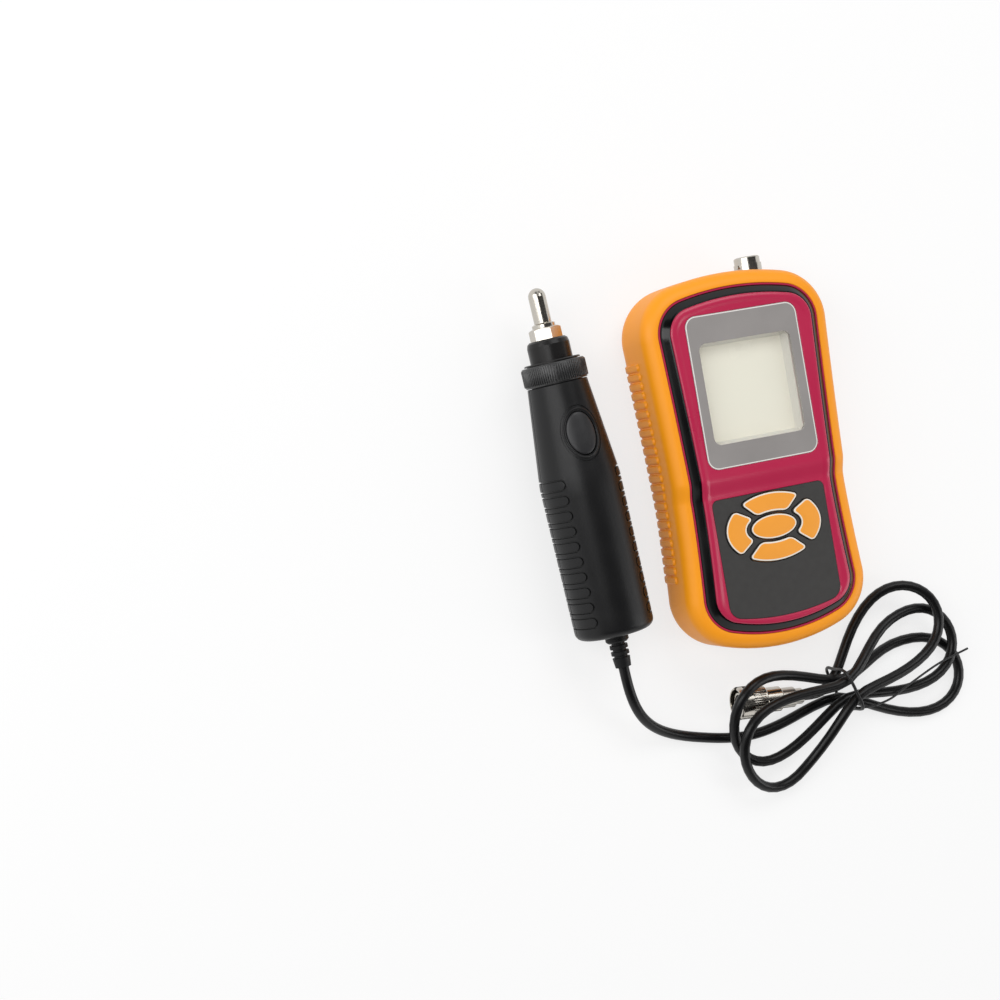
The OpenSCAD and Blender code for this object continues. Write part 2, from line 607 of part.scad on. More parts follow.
module socket_nut() {
    color([0.75, 0.75, 0.73]) translate([0, pad_y0 - seat_y, 0]) difference() {
        at_socket() translate([0, 0, -nut_h]) cylinder(h = nut_h, r = nut_r, $fn = 6);
        at_socket() translate([0, 0, -nut_h - past]) cylinder(h = nut_h + 2 * past, r = socket_rear_r);
    }
}
module socket_insert() {
    color([0.08, 0.08, 0.09]) union() {
        at_socket() translate([0, 0, bore_floor]) cylinder(h = insert_face - bore_floor, r = barrel_bore / 2);
        at_socket() translate([0, 0, -insert_low]) cylinder(h = insert_low + bore_floor + 0.5 * unit, r = insert_r);
        for (p = pin_places) at_socket() translate([p[0] * unit, p[1] * unit, -pin_low])
            cylinder(h = pin_low + pin_top, r = pin_r, $fn = 16);
    }
}

// Battery bay
cell_y0 = (bay_y0 + bay_y1 - cell_len) / 2;
module battery_door() {
    color([0.76, 0.17, 0.32]) difference() {
        union() {
            block([-door_half, pivot_y, case_back_z], [door_half, door_top_y, case_floor_z]);
            translate([-door_half, pivot_y, pivot_z]) rotate([0, 90, 0]) cylinder(h = 2 * door_half, r = knuckle_r);
            translate([-bay_half - 1.3 * unit, pivot_y, pivot_z]) rotate([0, 90, 0])
                cylinder(h = 2 * bay_half + 2.6 * unit, r = door_pin / 2, $fn = 32);
        }
        for (x = [-7.2, 6.4]) block([x * unit, door_top_y - 7.2 * unit, case_back_z - past], [(x + 0.8) * unit, door_top_y + past,
            case_floor_z + past]);
        translate([-6 * unit, door_top_y - 8.7 * unit, case_back_z - 5 * unit]) rotate([0, 90, 0])
            cylinder(h = 12 * unit, r = 6 * unit);
    }
}
module battery_cells() {
    color([0.2, 0.45, 0.75]) for (i = [-1.5:1:1.5]) along_y(i * cell_pitch, cell_z, cell_y0, cell_y0 + cell_len,
        cell_dia / 2);
}
module battery_contacts() {
    color([0.82, 0.8, 0.74]) union() {
        block([-20 * unit, bay_y0, 6 * unit], [20 * unit, bay_y0 + 0.5 * unit, 14.5 * unit]);
        block([-20 * unit, bay_y1 - 0.5 * unit, 6 * unit], [20 * unit, bay_y1, 14.5 * unit]);
        for (i = [-1.5:1:1.5]) {
            along_y(i * cell_pitch, cell_z, bay_y0 + 0.2 * unit, cell_y0, 2.6 * unit);
            along_y(i * cell_pitch, cell_z, cell_y0 + cell_len, bay_y1 - 0.2 * unit, 1.9 * unit);
        }
    }
}

// Probe: its own line runs from the tail along local Y, with its button facing up
tail_x = -73 * unit;
tail_y = -61.5 * unit;
probe_turn = 3.5;
mouth_u = probe_len - 40.8 * unit;
thick_u = mouth_u - 41.7 * unit;
neck_u = mouth_u - 8 * unit;
groove_first = 8.3 * unit;
groove_count = floor((thick_u + 0.5 * unit - groove_first) / groove_pitch + 0.01) + 1;
spigot_r = 10.9 * unit;
module at_probe() {
    translate([tail_x, tail_y, grip_r]) rotate([0, 0, probe_turn]) children();
}
module turned(pts) {
    rotate([-90, 0, 0]) rotate_extrude($fn = 96) polygon(pts);
}
tail_round = 3.5 * unit;
cone_angle = atan((grip_r - nose_r) / (mouth_u - thick_u));
// Outer line of the handle, moved outward by d
function grip_line(d) = concat([[0, -d]], [for (i = [0:4]) let (a = 90 * i / 4)
    [tail_r - tail_round + (tail_round + d) * sin(a), tail_round - (tail_round + d) * cos(a)]],
    [[grip_r + d, thick_u], [nose_r + d, mouth_u]]);
module grip_shell() {
    turned(concat(grip_line(0), [[spigot_r, mouth_u], [spigot_r, neck_u],
        [nose_r + (grip_r - nose_r) * (mouth_u - neck_u) / (mouth_u - thick_u) - grip_wall, neck_u],
        [grip_r - grip_wall, thick_u], [tail_r - grip_wall, 2.6 * unit], [0, 2.6 * unit]]));
}
press_u = mouth_u - 22 * unit;
press_r = grip_r - (press_u - thick_u) * tan(cone_angle);
module at_press() {
    translate([0, press_u, press_r]) rotate([-cone_angle, 0, 0]) children();
}
press_a = 9.1 * unit;
press_b = 6.25 * unit;
boss_low = -4.6 * unit;
probe_screw_places = [[0, 12 * unit], [10.5 * unit, thick_u - 8.3 * unit], [-10.5 * unit, thick_u - 8.3 * unit]];
relief_hole = 4 * unit;
function groove_shape(side, u) = [for (i = [-6:6]) let (a = 90 * i / 6)
    [side * (13 * unit - groove_w / 2 * cos(a)), u + groove_w / 2 * sin(a)]];
module grooves() {
    difference() {
        for (side = [-1, 1]) for (i = [0:groove_count - 1]) translate([0, 0, -22 * unit])
            linear_extrude(44 * unit) polygon(concat(groove_shape(side, groove_first + i * groove_pitch),
            [[side * 22 * unit, groove_first + i * groove_pitch + groove_w / 2],
            [side * 22 * unit, groove_first + i * groove_pitch - groove_w / 2]]));
        turned(concat(grip_line(-0.5 * unit), [[0, mouth_u - unit]]));
    }
}
module probe_half(up) {
    z0 = up > 0 ? 0 : -30 * unit;
    intersection() {
        grip_shell();
        block([-30 * unit, -10 * unit, z0], [30 * unit, 130 * unit, z0 + 30 * unit]);
    }
}
module probe_columns(z0, z1, r, places) {
    for (p = places) translate([p[0], p[1], z0]) cylinder(h = z1 - z0, r = r, $fn = 32);
}
module probe_front_shell() {
    color([0.1, 0.1, 0.11]) at_probe() difference() {
        union() {
            probe_half(1);
            intersection() {
                at_press() translate([0, 0, boss_low]) linear_extrude(12 * unit)
                    polygon(oval(7.7 * unit, 11.2 * unit));
                turned(concat(grip_line(0.5 * unit), [[0, mouth_u]]));
            }
            probe_columns(0, 15 * unit, 3 * unit, [probe_screw_places[0]]);
            probe_columns(0, 11.5 * unit, 3 * unit, [probe_screw_places[1], probe_screw_places[2]]);
        }
        at_press() translate([0, 0, boss_low - 6 * unit]) linear_extrude(24 * unit)
            polygon(oval(press_b + move_gap, press_a + move_gap));
        probe_columns(-past, 8 * unit, 1.3 * unit, probe_screw_places);
        rotate([-90, 0, 0]) translate([0, 0, -past]) cylinder(h = 4 * unit, r = relief_hole);
        grooves();
    }
}
module probe_rear_shell() {
    color([0.1, 0.1, 0.11]) at_probe() difference() {
        union() {
            probe_half(-1);
            probe_columns(-15.6 * unit, 0, 3 * unit, [probe_screw_places[0]]);
            probe_columns(-12.6 * unit, 0, 3 * unit, [probe_screw_places[1], probe_screw_places[2]]);
            for (u = [pcb_u0 + 4 * unit, pcb_u1 - 12 * unit]) block([-7 * unit, u, -14.6 * unit],
                [7 * unit, u + 4 * unit, -0.4 * unit]);
        }
        probe_columns(-20 * unit, past, 1.4 * unit, probe_screw_places);
        probe_columns(-20 * unit, -9 * unit, 2.5 * unit, probe_screw_places);
        rotate([-90, 0, 0]) translate([0, 0, -past]) cylinder(h = 4 * unit, r = relief_hole);
        grooves();
    }
}
module probe_button() {
    color([0.13, 0.13, 0.14]) at_probe() union() {
        intersection() {
            at_press() translate([0, 0, boss_low - 0.4 * unit]) linear_extrude(12 * unit)
                polygon(oval(press_b, press_a));
            turned(concat(grip_line(0.2 * unit), [[0, mouth_u]]));
        }
        at_press() translate([0, 0, boss_low - 1.5 * unit]) linear_extrude(1.15 * unit)
            polygon(oval(press_b + 1.1 * unit, press_a + 1.1 * unit));
        at_press() translate([0, 0, boss_low - 3.4 * unit]) cylinder(h = 3 * unit, r = 2 * unit, $fn = 32);
    }
}
pcb_u0 = 22 * unit;
pcb_u1 = mouth_u - 16 * unit;
pcb_low = -0.4 * unit;
pcb_top = 1.2 * unit;
module probe_switch() {
    color([0.2, 0.2, 0.22]) at_probe() union() {
        block([-3 * unit, press_u - 3 * unit, pcb_top], [3 * unit, press_u + 3 * unit, pcb_top + 3.5 * unit]);
        translate([0, press_u, pcb_top + 3 * unit]) cylinder(h = 1.4 * unit, r = 1.7 * unit, $fn = 32);
    }
}
module probe_board() {
    color([0.1, 0.4, 0.2]) at_probe() union() {
        block([-7 * unit, pcb_u0, pcb_low], [7 * unit, pcb_u1, pcb_top]);
        block([-4 * unit, pcb_u0 + 10 * unit, pcb_top - 0.2 * unit], [4 * unit, pcb_u0 + 20 * unit, pcb_top + 1.6 * unit]);
        block([-3 * unit, press_u - 20 * unit, pcb_top - 0.2 * unit],
            [3 * unit, press_u - 15 * unit, pcb_top + 1.4 * unit]);
    }
}
module knurled_ring() {
    color([0.09, 0.09, 0.1]) at_probe() turned([[spigot_r + ring_gap, mouth_u + 0.2 * unit], [13.1 * unit, mouth_u + 0.2 * unit],
        [13.4 * unit, mouth_u + 0.5 * unit], [13.8 * unit, mouth_u + 8.4 * unit], [13.3 * unit, mouth_u + 8.9 * unit],
        [spigot_r + ring_gap, mouth_u + 8.9 * unit]]);
}
module nose_collar() {
    color([0.07, 0.07, 0.08]) at_probe() turned([[7.5 * unit, mouth_u - 10 * unit], [11.4 * unit, mouth_u - 10 * unit],
        [11.4 * unit, mouth_u - 8.3 * unit], [spigot_r, mouth_u - 8.3 * unit], [spigot_r, mouth_u + 9.1 * unit], [12 * unit, mouth_u + 9.1 * unit],
        [12 * unit, mouth_u + 9.5 * unit], [11.6 * unit, mouth_u + 9.9 * unit], [9.05 * unit, mouth_u + 9.9 * unit],
        [9.05 * unit, mouth_u + 16.6 * unit], [8.6 * unit, mouth_u + 18.2 * unit], [7.6 * unit, mouth_u + 19 * unit], [3.1 * unit, mouth_u + 19 * unit],
        [3.1 * unit, mouth_u + 16.8 * unit], [7.5 * unit, mouth_u + 16.8 * unit]]);
}
stud_r = 3 * unit;
nut_u0 = mouth_u + 19 * unit;
nut_u1 = nut_u0 + 5 * unit;
module tip_nut() {
    color([0.8, 0.8, 0.79]) at_probe() difference() {
        intersection() {
            rotate([-90, 0, 0]) translate([0, 0, nut_u0]) rotate([0, 0, 30])
                cylinder(h = nut_u1 - nut_u0, r = nut_flats / sqrt(3), $fn = 6);
            turned([[0, nut_u0 - past], [7.2 * unit, nut_u0 - past], [7.2 * unit, nut_u1 - 0.9 * unit],
                [5.6 * unit, nut_u1], [5.6 * unit, nut_u1 + past], [0, nut_u1 + past]]);
        }
        rotate([-90, 0, 0]) translate([0, 0, nut_u0 - past]) cylinder(h = 8 * unit, r = stud_r + 0.02 * unit);
    }
}
module probe_tip() {
    color([0.84, 0.84, 0.83]) at_probe() turned(concat([[0, mouth_u + 12 * unit], [stud_r, mouth_u + 12 * unit], [stud_r, nut_u1],
        [4.95 * unit, nut_u1], [4.95 * unit, nut_u1 + 1.4 * unit], [tip_dia / 2, nut_u1 + 2 * unit]],
        [for (i = [0:5]) let (a = 90 * i / 5) [tip_dia / 2 * cos(a), probe_len - tip_dia / 2 * (1 - sin(a))]]));
}
module sensor_base() {
    color([0.72, 0.72, 0.7]) at_probe() turned([[0, mouth_u - 7 * unit], [2.5 * unit, mouth_u - 7 * unit], [2.5 * unit, mouth_u + 9 * unit],
        [7.4 * unit, mouth_u + 9 * unit], [7.4 * unit, mouth_u + 16.8 * unit], [stud_r + 0.02 * unit, mouth_u + 16.8 * unit],
        [stud_r + 0.02 * unit, mouth_u + 11.8 * unit], [0, mouth_u + 11.8 * unit]]);
}
module sensor_crystals() {
    color([0.88, 0.84, 0.72]) at_probe() for (u = [mouth_u + 6.6 * unit, mouth_u + 4.2 * unit]) turned([[2.6 * unit, u],
        [6.2 * unit, u], [6.2 * unit, u + 2.3 * unit], [2.6 * unit, u + 2.3 * unit]]);
}
module sensor_mass() {
    color([0.65, 0.6, 0.45]) at_probe() turned([[2.6 * unit, mouth_u - 4.6 * unit], [6.6 * unit, mouth_u - 4.6 * unit],
        [6.6 * unit, mouth_u + 4.1 * unit], [2.6 * unit, mouth_u + 4.1 * unit]]);
}
module probe_screws() {
    color([0.7, 0.7, 0.72]) at_probe() union() {
        probe_columns(-11 * unit, -9 * unit, 2.3 * unit, probe_screw_places);
        probe_columns(-11 * unit, 6 * unit, 1.25 * unit, probe_screw_places);
    }
}
relief_len = 14.7 * unit;
module strain_relief() {
    color([0.06, 0.06, 0.07]) at_probe() turned([[0, 4.4 * unit], [5.4 * unit, 4.4 * unit], [5.4 * unit, 2.7 * unit],
        [relief_hole - 0.05 * unit, 2.7 * unit], [relief_hole - 0.05 * unit, 0], [5 * unit, 0],
        [5 * unit, -3.2 * unit], [4.2 * unit, -4 * unit], [2.9 * unit, -4 * unit], [2.9 * unit, -5.2 * unit],
        [3.9 * unit, -5.2 * unit], [3.9 * unit, -6.7 * unit], [2.9 * unit, -6.7 * unit], [2.9 * unit, -7.9 * unit],
        [3.9 * unit, -7.9 * unit], [3.9 * unit, -9.4 * unit], [2.9 * unit, -9.4 * unit], [2.9 * unit, -10.6 * unit],
        [3.8 * unit, -10.6 * unit], [3.4 * unit, -relief_len], [0, -relief_len]]);
}

// Cord: a tube swept along a path, round section with its sides between two rings
function unit_of(v) = v / norm(v);
function side_of(t) = unit_of(cross(t, [0, 0, 1]));
function tube_ring(p, t, r, n) = let (s = side_of(t), w = cross(s, t))
    [for (i = [0:n - 1]) let (a = 360 * (i + 0.5) / n) p + r * (cos(a) * s + sin(a) * w)];
module tube(path, r, n, dirs) {
    m = len(path);
    pts = [for (i = [0:m - 1]) each tube_ring(path[i], dirs[i], r, n)];
    walls = [for (k = [0:m - 2]) for (i = [0:n - 1]) let (j = (i + 1) % n, a = k * n, b = a + n)
        each [[a + i, b + j, a + j], [a + i, b + i, b + j]]];
    polyhedron(points = pts, faces = concat(walls, [[for (i = [0:n - 1]) i]],
        [[for (i = [n - 1:-1:0]) (m - 1) * n + i]]), convexity = 10);
}
function middle_dirs(p, first, last) = [for (i = [0:len(p) - 1]) i == 0 ? unit_of(first)
    : i == len(p) - 1 ? unit_of(last) : unit_of(p[i + 1] - p[i - 1])];
function bezier(a, b, c, d, s) = pow(1 - s, 3) * a + 3 * pow(1 - s, 2) * s * b + 3 * (1 - s) * s * s * c + pow(s, 3) * d;

probe_dir = [-sin(probe_turn), cos(probe_turn), 0];
lead_start = [tail_x, tail_y, grip_r] - relief_len * probe_dir;
hank_start = [-36 * unit, -116.5 * unit, cord_dia / 2];
hank_dir = unit_of([1, -0.28, 0]);
lead_path = let (a = lead_start - cord_dia * probe_dir) concat([lead_start],
    [for (i = [0:10]) bezier(a, a - 20 * unit * probe_dir, hank_start - 24 * unit * hank_dir, hank_start, i / 10)]);
module cord_lead() {
    color([0.08, 0.08, 0.09]) tube(lead_path, cord_dia / 2, 8, middle_dirs(lead_path, -probe_dir, hank_dir));
}

// Hank: two and a half turns of a pinched loop that swings round a little each turn.
// Each entry is [turn, layer]; layers are counted from the table up.
hank_levels = [[-0.3, 0], [-0.245, 0.5], [-0.16, 0], [0.16, 0.1], [0.25, 1.6], [0.3, 1.7], [0.41, 3],
    [0.56, 1.2], [0.63, 1.1], [0.75, 1.6], [0.85, 1.1], [1.15, 1.1], [1.25, 2.7], [1.39, 3], [1.61, 0.9],
    [1.64, 0.9], [1.75, 2.8], [1.86, 2.2], [1.97, 2.2], [2.21, 0.35], [3, 0.35]];
hank_x = 33 * unit;
hank_y = -108.8 * unit;
waist_gap = 4.4 * unit;
function hank_layer(t) = t <= hank_levels[0][0] ? hank_levels[0][1]
    : [for (i = [0:len(hank_levels) - 2]) if (t > hank_levels[i][0] && t <= hank_levels[i + 1][0])
        hank_levels[i][1] + (hank_levels[i + 1][1] - hank_levels[i][1])
        * ease((t - hank_levels[i][0]) / (hank_levels[i + 1][0] - hank_levels[i][0]))][0];
function hank_at(t) = let (th = 360 * t, c = cos(th), ra = (64 - 3 * t) * unit, la = (57 + 1.5 * t) * unit,
    a = (ra + la) / 2 + (ra - la) / 2 * c, b = (31.5 - 2.5 * c) * unit,
    swing = -5 + 19.5 * t + 2 * (1 - c) * (1 - 0.5 * t),
    p = a * c, q = b * sin(th) * sqrt(c * c + pow(waist_gap / b, 2)))
    [hank_x + p * cos(swing) - q * sin(swing), hank_y + p * sin(swing) + q * cos(swing),
    cord_dia / 2 + cord_layer * hank_layer(t)];
hank_from = -0.3;
hank_to = 2.23;
plug_rear = [13 * unit, -108 * unit, sleeve_r];
plug_turn = 84.26;
plug_dir = [-sin(plug_turn), cos(plug_turn), 0];
function hank_line(per_turn, ends) = let (l0 = hank_at(hank_from), d0 = unit_of(hank_at(hank_from + 0.002) - l0),
    l1 = hank_at(hank_to), d1 = unit_of(l1 - hank_at(hank_to - 0.002)), e = plug_rear - cord_dia * plug_dir,
    n = round((hank_to - hank_from) * per_turn))
    concat([for (i = [0:ends]) bezier(hank_start, hank_start + 20 * unit * hank_dir,
        l0 - 22 * unit * unit_of([d0.x, d0.y, 0]), l0,
        i / (ends + 1))],
    [for (i = [0:n]) hank_at(hank_from + (hank_to - hank_from) * i / n)],
    [for (i = [1:4]) bezier(l1, l1 + 8 * unit * d1, e - 7 * unit * plug_dir, e, i / 4)], [plug_rear]);
hank_path = hank_line(24, 10);
fine_path = hank_line(60, 20);
hank_gap = min([for (i = [0:len(fine_path) - 1]) for (j = [i + 12:1:len(fine_path) - 1])
    norm(fine_path[i] - fine_path[j]) - cord_dia]);
hank_len = [for (i = 0, s = 0; i < len(fine_path) - 1; s = s + norm(fine_path[i + 1] - fine_path[i]), i = i + 1)
    s + norm(fine_path[i + 1] - fine_path[i])][len(fine_path) - 2];
echo(hank_gap = hank_gap, hank_len = hank_len, rings = len(hank_path));
module cord_hank() {
    color([0.08, 0.08, 0.09]) tube(hank_path, cord_dia / 2, 6, middle_dirs(hank_path, hank_dir, plug_dir));
}

// Wire tie round the waist of the hank, with one long free end
waist_dir = 17;
tie_points = [[9.9, 6.5], [9.7, 11], [9.9, 15.4], [8.4, 18.9], [3.6, 20.3], [-2, 20.4], [-6.2, 20.5],
    [-9, 19.3], [-9.9, 16.6], [-10.2, 12], [-10.7, 8], [-10.8, 4.6], [-9.7, 1.7], [-6.8, 0.65], [0, 0.65],
    [6.4, 0.7], [9, 1.7], [10.1, 3.9], [9.9, 6.5]];
function tie_at(q) = [hank_x - q[0] * unit * sin(waist_dir), hank_y + q[0] * unit * cos(waist_dir), q[1] * unit];
tie_path = [for (q = tie_points) tie_at(q)];
tail_points = [[35.6, -117.2, 12], [36.9, -118.2, 12.6], [44, -118.8, 13.4], [54, -117.5, 13], [66, -113, 12],
    [82, -107.5, 11.3], [98, -104, 11]];
tail_path = [for (q = tail_points) q * unit];
// Ring of a closed path: its side is the direction along the bundle
module hoop(path, r, n) {
    m = len(path) - 1;
    axis = [cos(waist_dir), sin(waist_dir), 0];
    pts = [for (i = [0:m - 1]) let (t = unit_of(path[i + 1] - path[(i + m - 1) % m]), w = cross(axis, t))
        for (k = [0:n - 1]) let (a = 360 * k / n) path[i] + r * (cos(a) * axis + sin(a) * w)];
    polyhedron(points = pts, faces = [for (i = [0:m - 1]) for (k = [0:n - 1]) let (j = (k + 1) % n, a = i * n,
        b = ((i + 1) % m) * n) each [[a + k, b + j, a + j], [a + k, b + k, b + j]]], convexity = 6);
}
module cord_tie() {
    color([0.05, 0.05, 0.06]) union() {
        hoop(tie_path, tie_dia / 2, 6);
        tube(tail_path, 0.5 * unit, 6, middle_dirs(tail_path, tail_path[1] - tail_path[0],
            tail_path[6] - tail_path[5]));
    }
}

// Plug: its own line runs from the cord end along local Y
module at_plug() {
    translate(plug_rear) rotate([0, 0, plug_turn]) children();
}
module plug_clamp() {
    color([0.75, 0.74, 0.71]) at_plug() turned([[0, 0], [3.2 * unit, 0], [3.5 * unit, 0.4 * unit],
        [3.5 * unit, 4 * unit], [4.5 * unit, 4.4 * unit], [4.5 * unit, 11 * unit], [0, 11 * unit]]);
}
module plug_body() {
    color([0.8, 0.79, 0.76]) at_plug() turned([[0, 11 * unit], [5.2 * unit, 11 * unit], [5.5 * unit, 11.4 * unit],
        [5.5 * unit, 19 * unit], [5.2 * unit, 19 * unit], [5.2 * unit, 21.9 * unit], [5.7 * unit, 21.9 * unit],
        [5.7 * unit, 22.7 * unit], [4.6 * unit, 22.9 * unit], [4.6 * unit, 30.8 * unit], [3.8 * unit, 30.8 * unit],
        [3.8 * unit, 24 * unit], [0, 24 * unit]]);
}
module plug_sleeve() {
    color([0.8, 0.79, 0.76]) at_plug() difference() {
        turned([[5.25 * unit, 19.2 * unit], [6.8 * unit, 19.2 * unit], [sleeve_r, 19.7 * unit],
            [sleeve_r, plug_len - 0.6 * unit], [6.8 * unit, plug_len], [6.15 * unit, plug_len],
            [6.15 * unit, 23 * unit], [5.8 * unit, 23 * unit], [5.8 * unit, 21.6 * unit], [5.25 * unit, 21.6 * unit]]);
        // Two bayonet slots: straight in from the mouth, then round to a rest
        for (a = [0, 180]) rotate([0, a, 0]) {
            block([5.6 * unit, 27.4 * unit, -1.05 * unit], [8 * unit, plug_len + past, 1.05 * unit]);
            translate([0, 28.45 * unit, 0]) rotate([0, -38, 0]) rotate([0, 90, 0]) translate([0, 0, 5.6 * unit])
                cylinder(h = 2.4 * unit, r = 1.05 * unit, $fn = 24);
            translate([0, 28.45 * unit, 0]) rotate([0, -19, 0]) block([5.6 * unit, -1.05 * unit, -2.2 * unit],
                [8 * unit, 1.05 * unit, 2.2 * unit]);
        }
    }
}
module plug_insert() {
    color([0.08, 0.08, 0.09]) at_plug() difference() {
        turned([[0, 24 * unit], [3.75 * unit, 24 * unit], [3.75 * unit, 30 * unit], [0, 30 * unit]]);
        for (p = pin_places) translate([p[0] * unit, 25.5 * unit, p[1] * unit]) rotate([-90, 0, 0])
            cylinder(h = 8 * unit, r = 0.65 * unit, $fn = 16);
    }
}

boot();
rear_shell();
front_shell();
trim_ring();
display_lens();
lcd_panel();
lcd_frame();
contact_strips();
keypad_overlay();
key_centre();
key_top();
key_right();
key_bottom();
key_left();
dome_switches();
main_board();
board_parts();
case_screws();
sensor_socket();
socket_nut();
socket_insert();
battery_door();
battery_cells();
battery_contacts();
probe_front_shell();
probe_rear_shell();
probe_button();
probe_switch();
probe_board();
knurled_ring();
nose_collar();
tip_nut();
probe_tip();
sensor_base();
sensor_crystals();
sensor_mass();
probe_screws();
strain_relief();
cord_lead();
cord_hank();
cord_tie();
plug_body();
plug_clamp();
plug_sleeve();
plug_insert();
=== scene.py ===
# Handheld vibration meter with a wired pickup probe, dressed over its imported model.
import math

import bmesh
import bpy
import numpy as np
from mathutils import Matrix, Vector


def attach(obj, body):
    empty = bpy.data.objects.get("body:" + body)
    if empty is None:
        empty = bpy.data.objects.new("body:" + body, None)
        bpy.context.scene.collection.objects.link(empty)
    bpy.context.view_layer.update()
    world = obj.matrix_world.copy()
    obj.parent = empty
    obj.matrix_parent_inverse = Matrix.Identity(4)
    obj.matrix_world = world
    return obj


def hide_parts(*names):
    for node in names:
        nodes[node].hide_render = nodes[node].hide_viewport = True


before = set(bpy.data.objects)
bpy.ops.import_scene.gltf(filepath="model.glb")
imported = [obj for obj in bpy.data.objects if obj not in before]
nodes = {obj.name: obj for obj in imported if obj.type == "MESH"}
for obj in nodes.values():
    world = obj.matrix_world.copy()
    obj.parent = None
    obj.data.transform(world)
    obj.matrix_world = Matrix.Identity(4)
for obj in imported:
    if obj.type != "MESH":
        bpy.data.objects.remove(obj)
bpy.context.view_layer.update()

# Camera. It looks down on the table from the left of the meter, along the line of sight
# worked out from the photograph: a long lens, about 0.78 m from the display.
CAMERA_AT = (-0.35635, 0.03360, 0.73889)
CAMERA_LENS, CAMERA_FILM = 66.24, 36.0
scene = bpy.context.scene
scene.view_settings.view_transform = "Standard"
sight = Vector((0.3188, -0.0404, -0.9470)).normalized()
side = Vector((0.9311, -0.1738, 0.3208))
side = (side - side.dot(sight) * sight).normalized()


def stand(name, data):
    """Puts a mesh, a camera or a lamp into the scene."""
    thing = bpy.data.objects.new(name, data)
    scene.collection.objects.link(thing)
    return thing


camera = stand("camera", bpy.data.cameras.new("camera"))
camera.data.lens, camera.data.sensor_width = CAMERA_LENS, CAMERA_FILM
camera.data.clip_start = 0.01
camera.matrix_world = Matrix.Translation(CAMERA_AT) @ Matrix(
    (side, side.cross(sight), -sight)).transposed().to_4x4()
scene.camera = camera

# Cord. A soft black four-core lead, 4.5 mm thick, moulded into the probe's relief. It runs
# over the table into a tied hank of two and a half pinched loops and ends in the plug.
# All sizes are millimetres; the mesh maker turns them to metres.
CORD_THICK, CORD_LAYER, CORD_SIDES = 4.5, 5.2, 18
PROBE_TAIL = np.array([-73.0, -61.5, 17.3])
PROBE_TURN = math.radians(3.5)
PROBE_DIR = np.array([-math.sin(PROBE_TURN), math.cos(PROBE_TURN), 0.0])
RELIEF_LEN = 14.7
PLUG_REAR = np.array([13.0, -108.0, 7.25])
PLUG_TURN = math.radians(84.26)
PLUG_DIR = np.array([-math.sin(PLUG_TURN), math.cos(PLUG_TURN), 0.0])
HANK_START = np.array([-36.0, -116.5, CORD_THICK / 2])
HANK_MIDDLE = np.array([33.0, -108.8])
HANK_FROM, HANK_TO, HANK_STEPS = -0.3, 2.23, 60
LOOP_RIGHT, LOOP_RIGHT_LOSS = 64, 3
LOOP_LEFT, LOOP_LEFT_GAIN = 57, 1.5
LOOP_HALF, LOOP_SPREAD, LOOP_WAIST = 31.5, 2.5, 4.4
LOOP_SWING, LOOP_FAN, LOOP_SWAY = -5, 19.5, 2
# Turn along the hank, and how many cords lie under it there
HANK_LEVELS = [
    (-0.3, 0), (-0.245, 0.5), (-0.16, 0), (0.16, 0.1), (0.25, 1.6), (0.3, 1.7), (0.41, 3),
    (0.56, 1.2), (0.63, 1.1), (0.75, 1.6), (0.85, 1.1), (1.15, 1.1), (1.25, 2.7), (1.39, 3),
    (1.61, 0.9), (1.64, 0.9), (1.75, 2.8), (1.86, 2.2), (1.97, 2.2), (2.21, 0.35), (3, 0.35)]


def unit(v):
    v = np.asarray(v, float)
    return v / np.linalg.norm(v)


def ease(x):
    """Soft step from 0 to 1."""
    x = np.clip(x, 0.0, 1.0)
    return x * x * (3.0 - 2.0 * x)


def bezier(a, b, c, d, count):
    s = np.linspace(0, 1, count)[:, None]
    return (1 - s) ** 3 * a + 3 * (1 - s) ** 2 * s * b + 3 * (1 - s) * s * s * c + s ** 3 * d


def hank_layer(turn):
    if turn <= HANK_LEVELS[0][0]:
        return HANK_LEVELS[0][1]
    for (t0, low), (t1, high) in zip(HANK_LEVELS, HANK_LEVELS[1:]):
        if turn <= t1:
            return low + (high - low) * float(ease((turn - t0) / (t1 - t0)))
    return HANK_LEVELS[-1][1]


def hank_at(turn):
    """Point of the hank after so many turns: a pinched loop that swings and fans out."""
    angle = 2 * math.pi * turn
    c = math.cos(angle)
    right, left = LOOP_RIGHT - LOOP_RIGHT_LOSS * turn, LOOP_LEFT + LOOP_LEFT_GAIN * turn
    reach = (right + left) / 2 + (right - left) / 2 * c
    half = LOOP_HALF - LOOP_SPREAD * c
    swing = math.radians(LOOP_SWING + LOOP_FAN * turn + LOOP_SWAY * (1 - c) * (1 - 0.5 * turn))
    p = reach * c
    q = half * math.sin(angle) * math.sqrt(c * c + (LOOP_WAIST / half) ** 2)
    return np.array([HANK_MIDDLE[0] + p * math.cos(swing) - q * math.sin(swing),
                     HANK_MIDDLE[1] + p * math.sin(swing) + q * math.cos(swing),
                     CORD_THICK / 2 + CORD_LAYER * hank_layer(turn)])


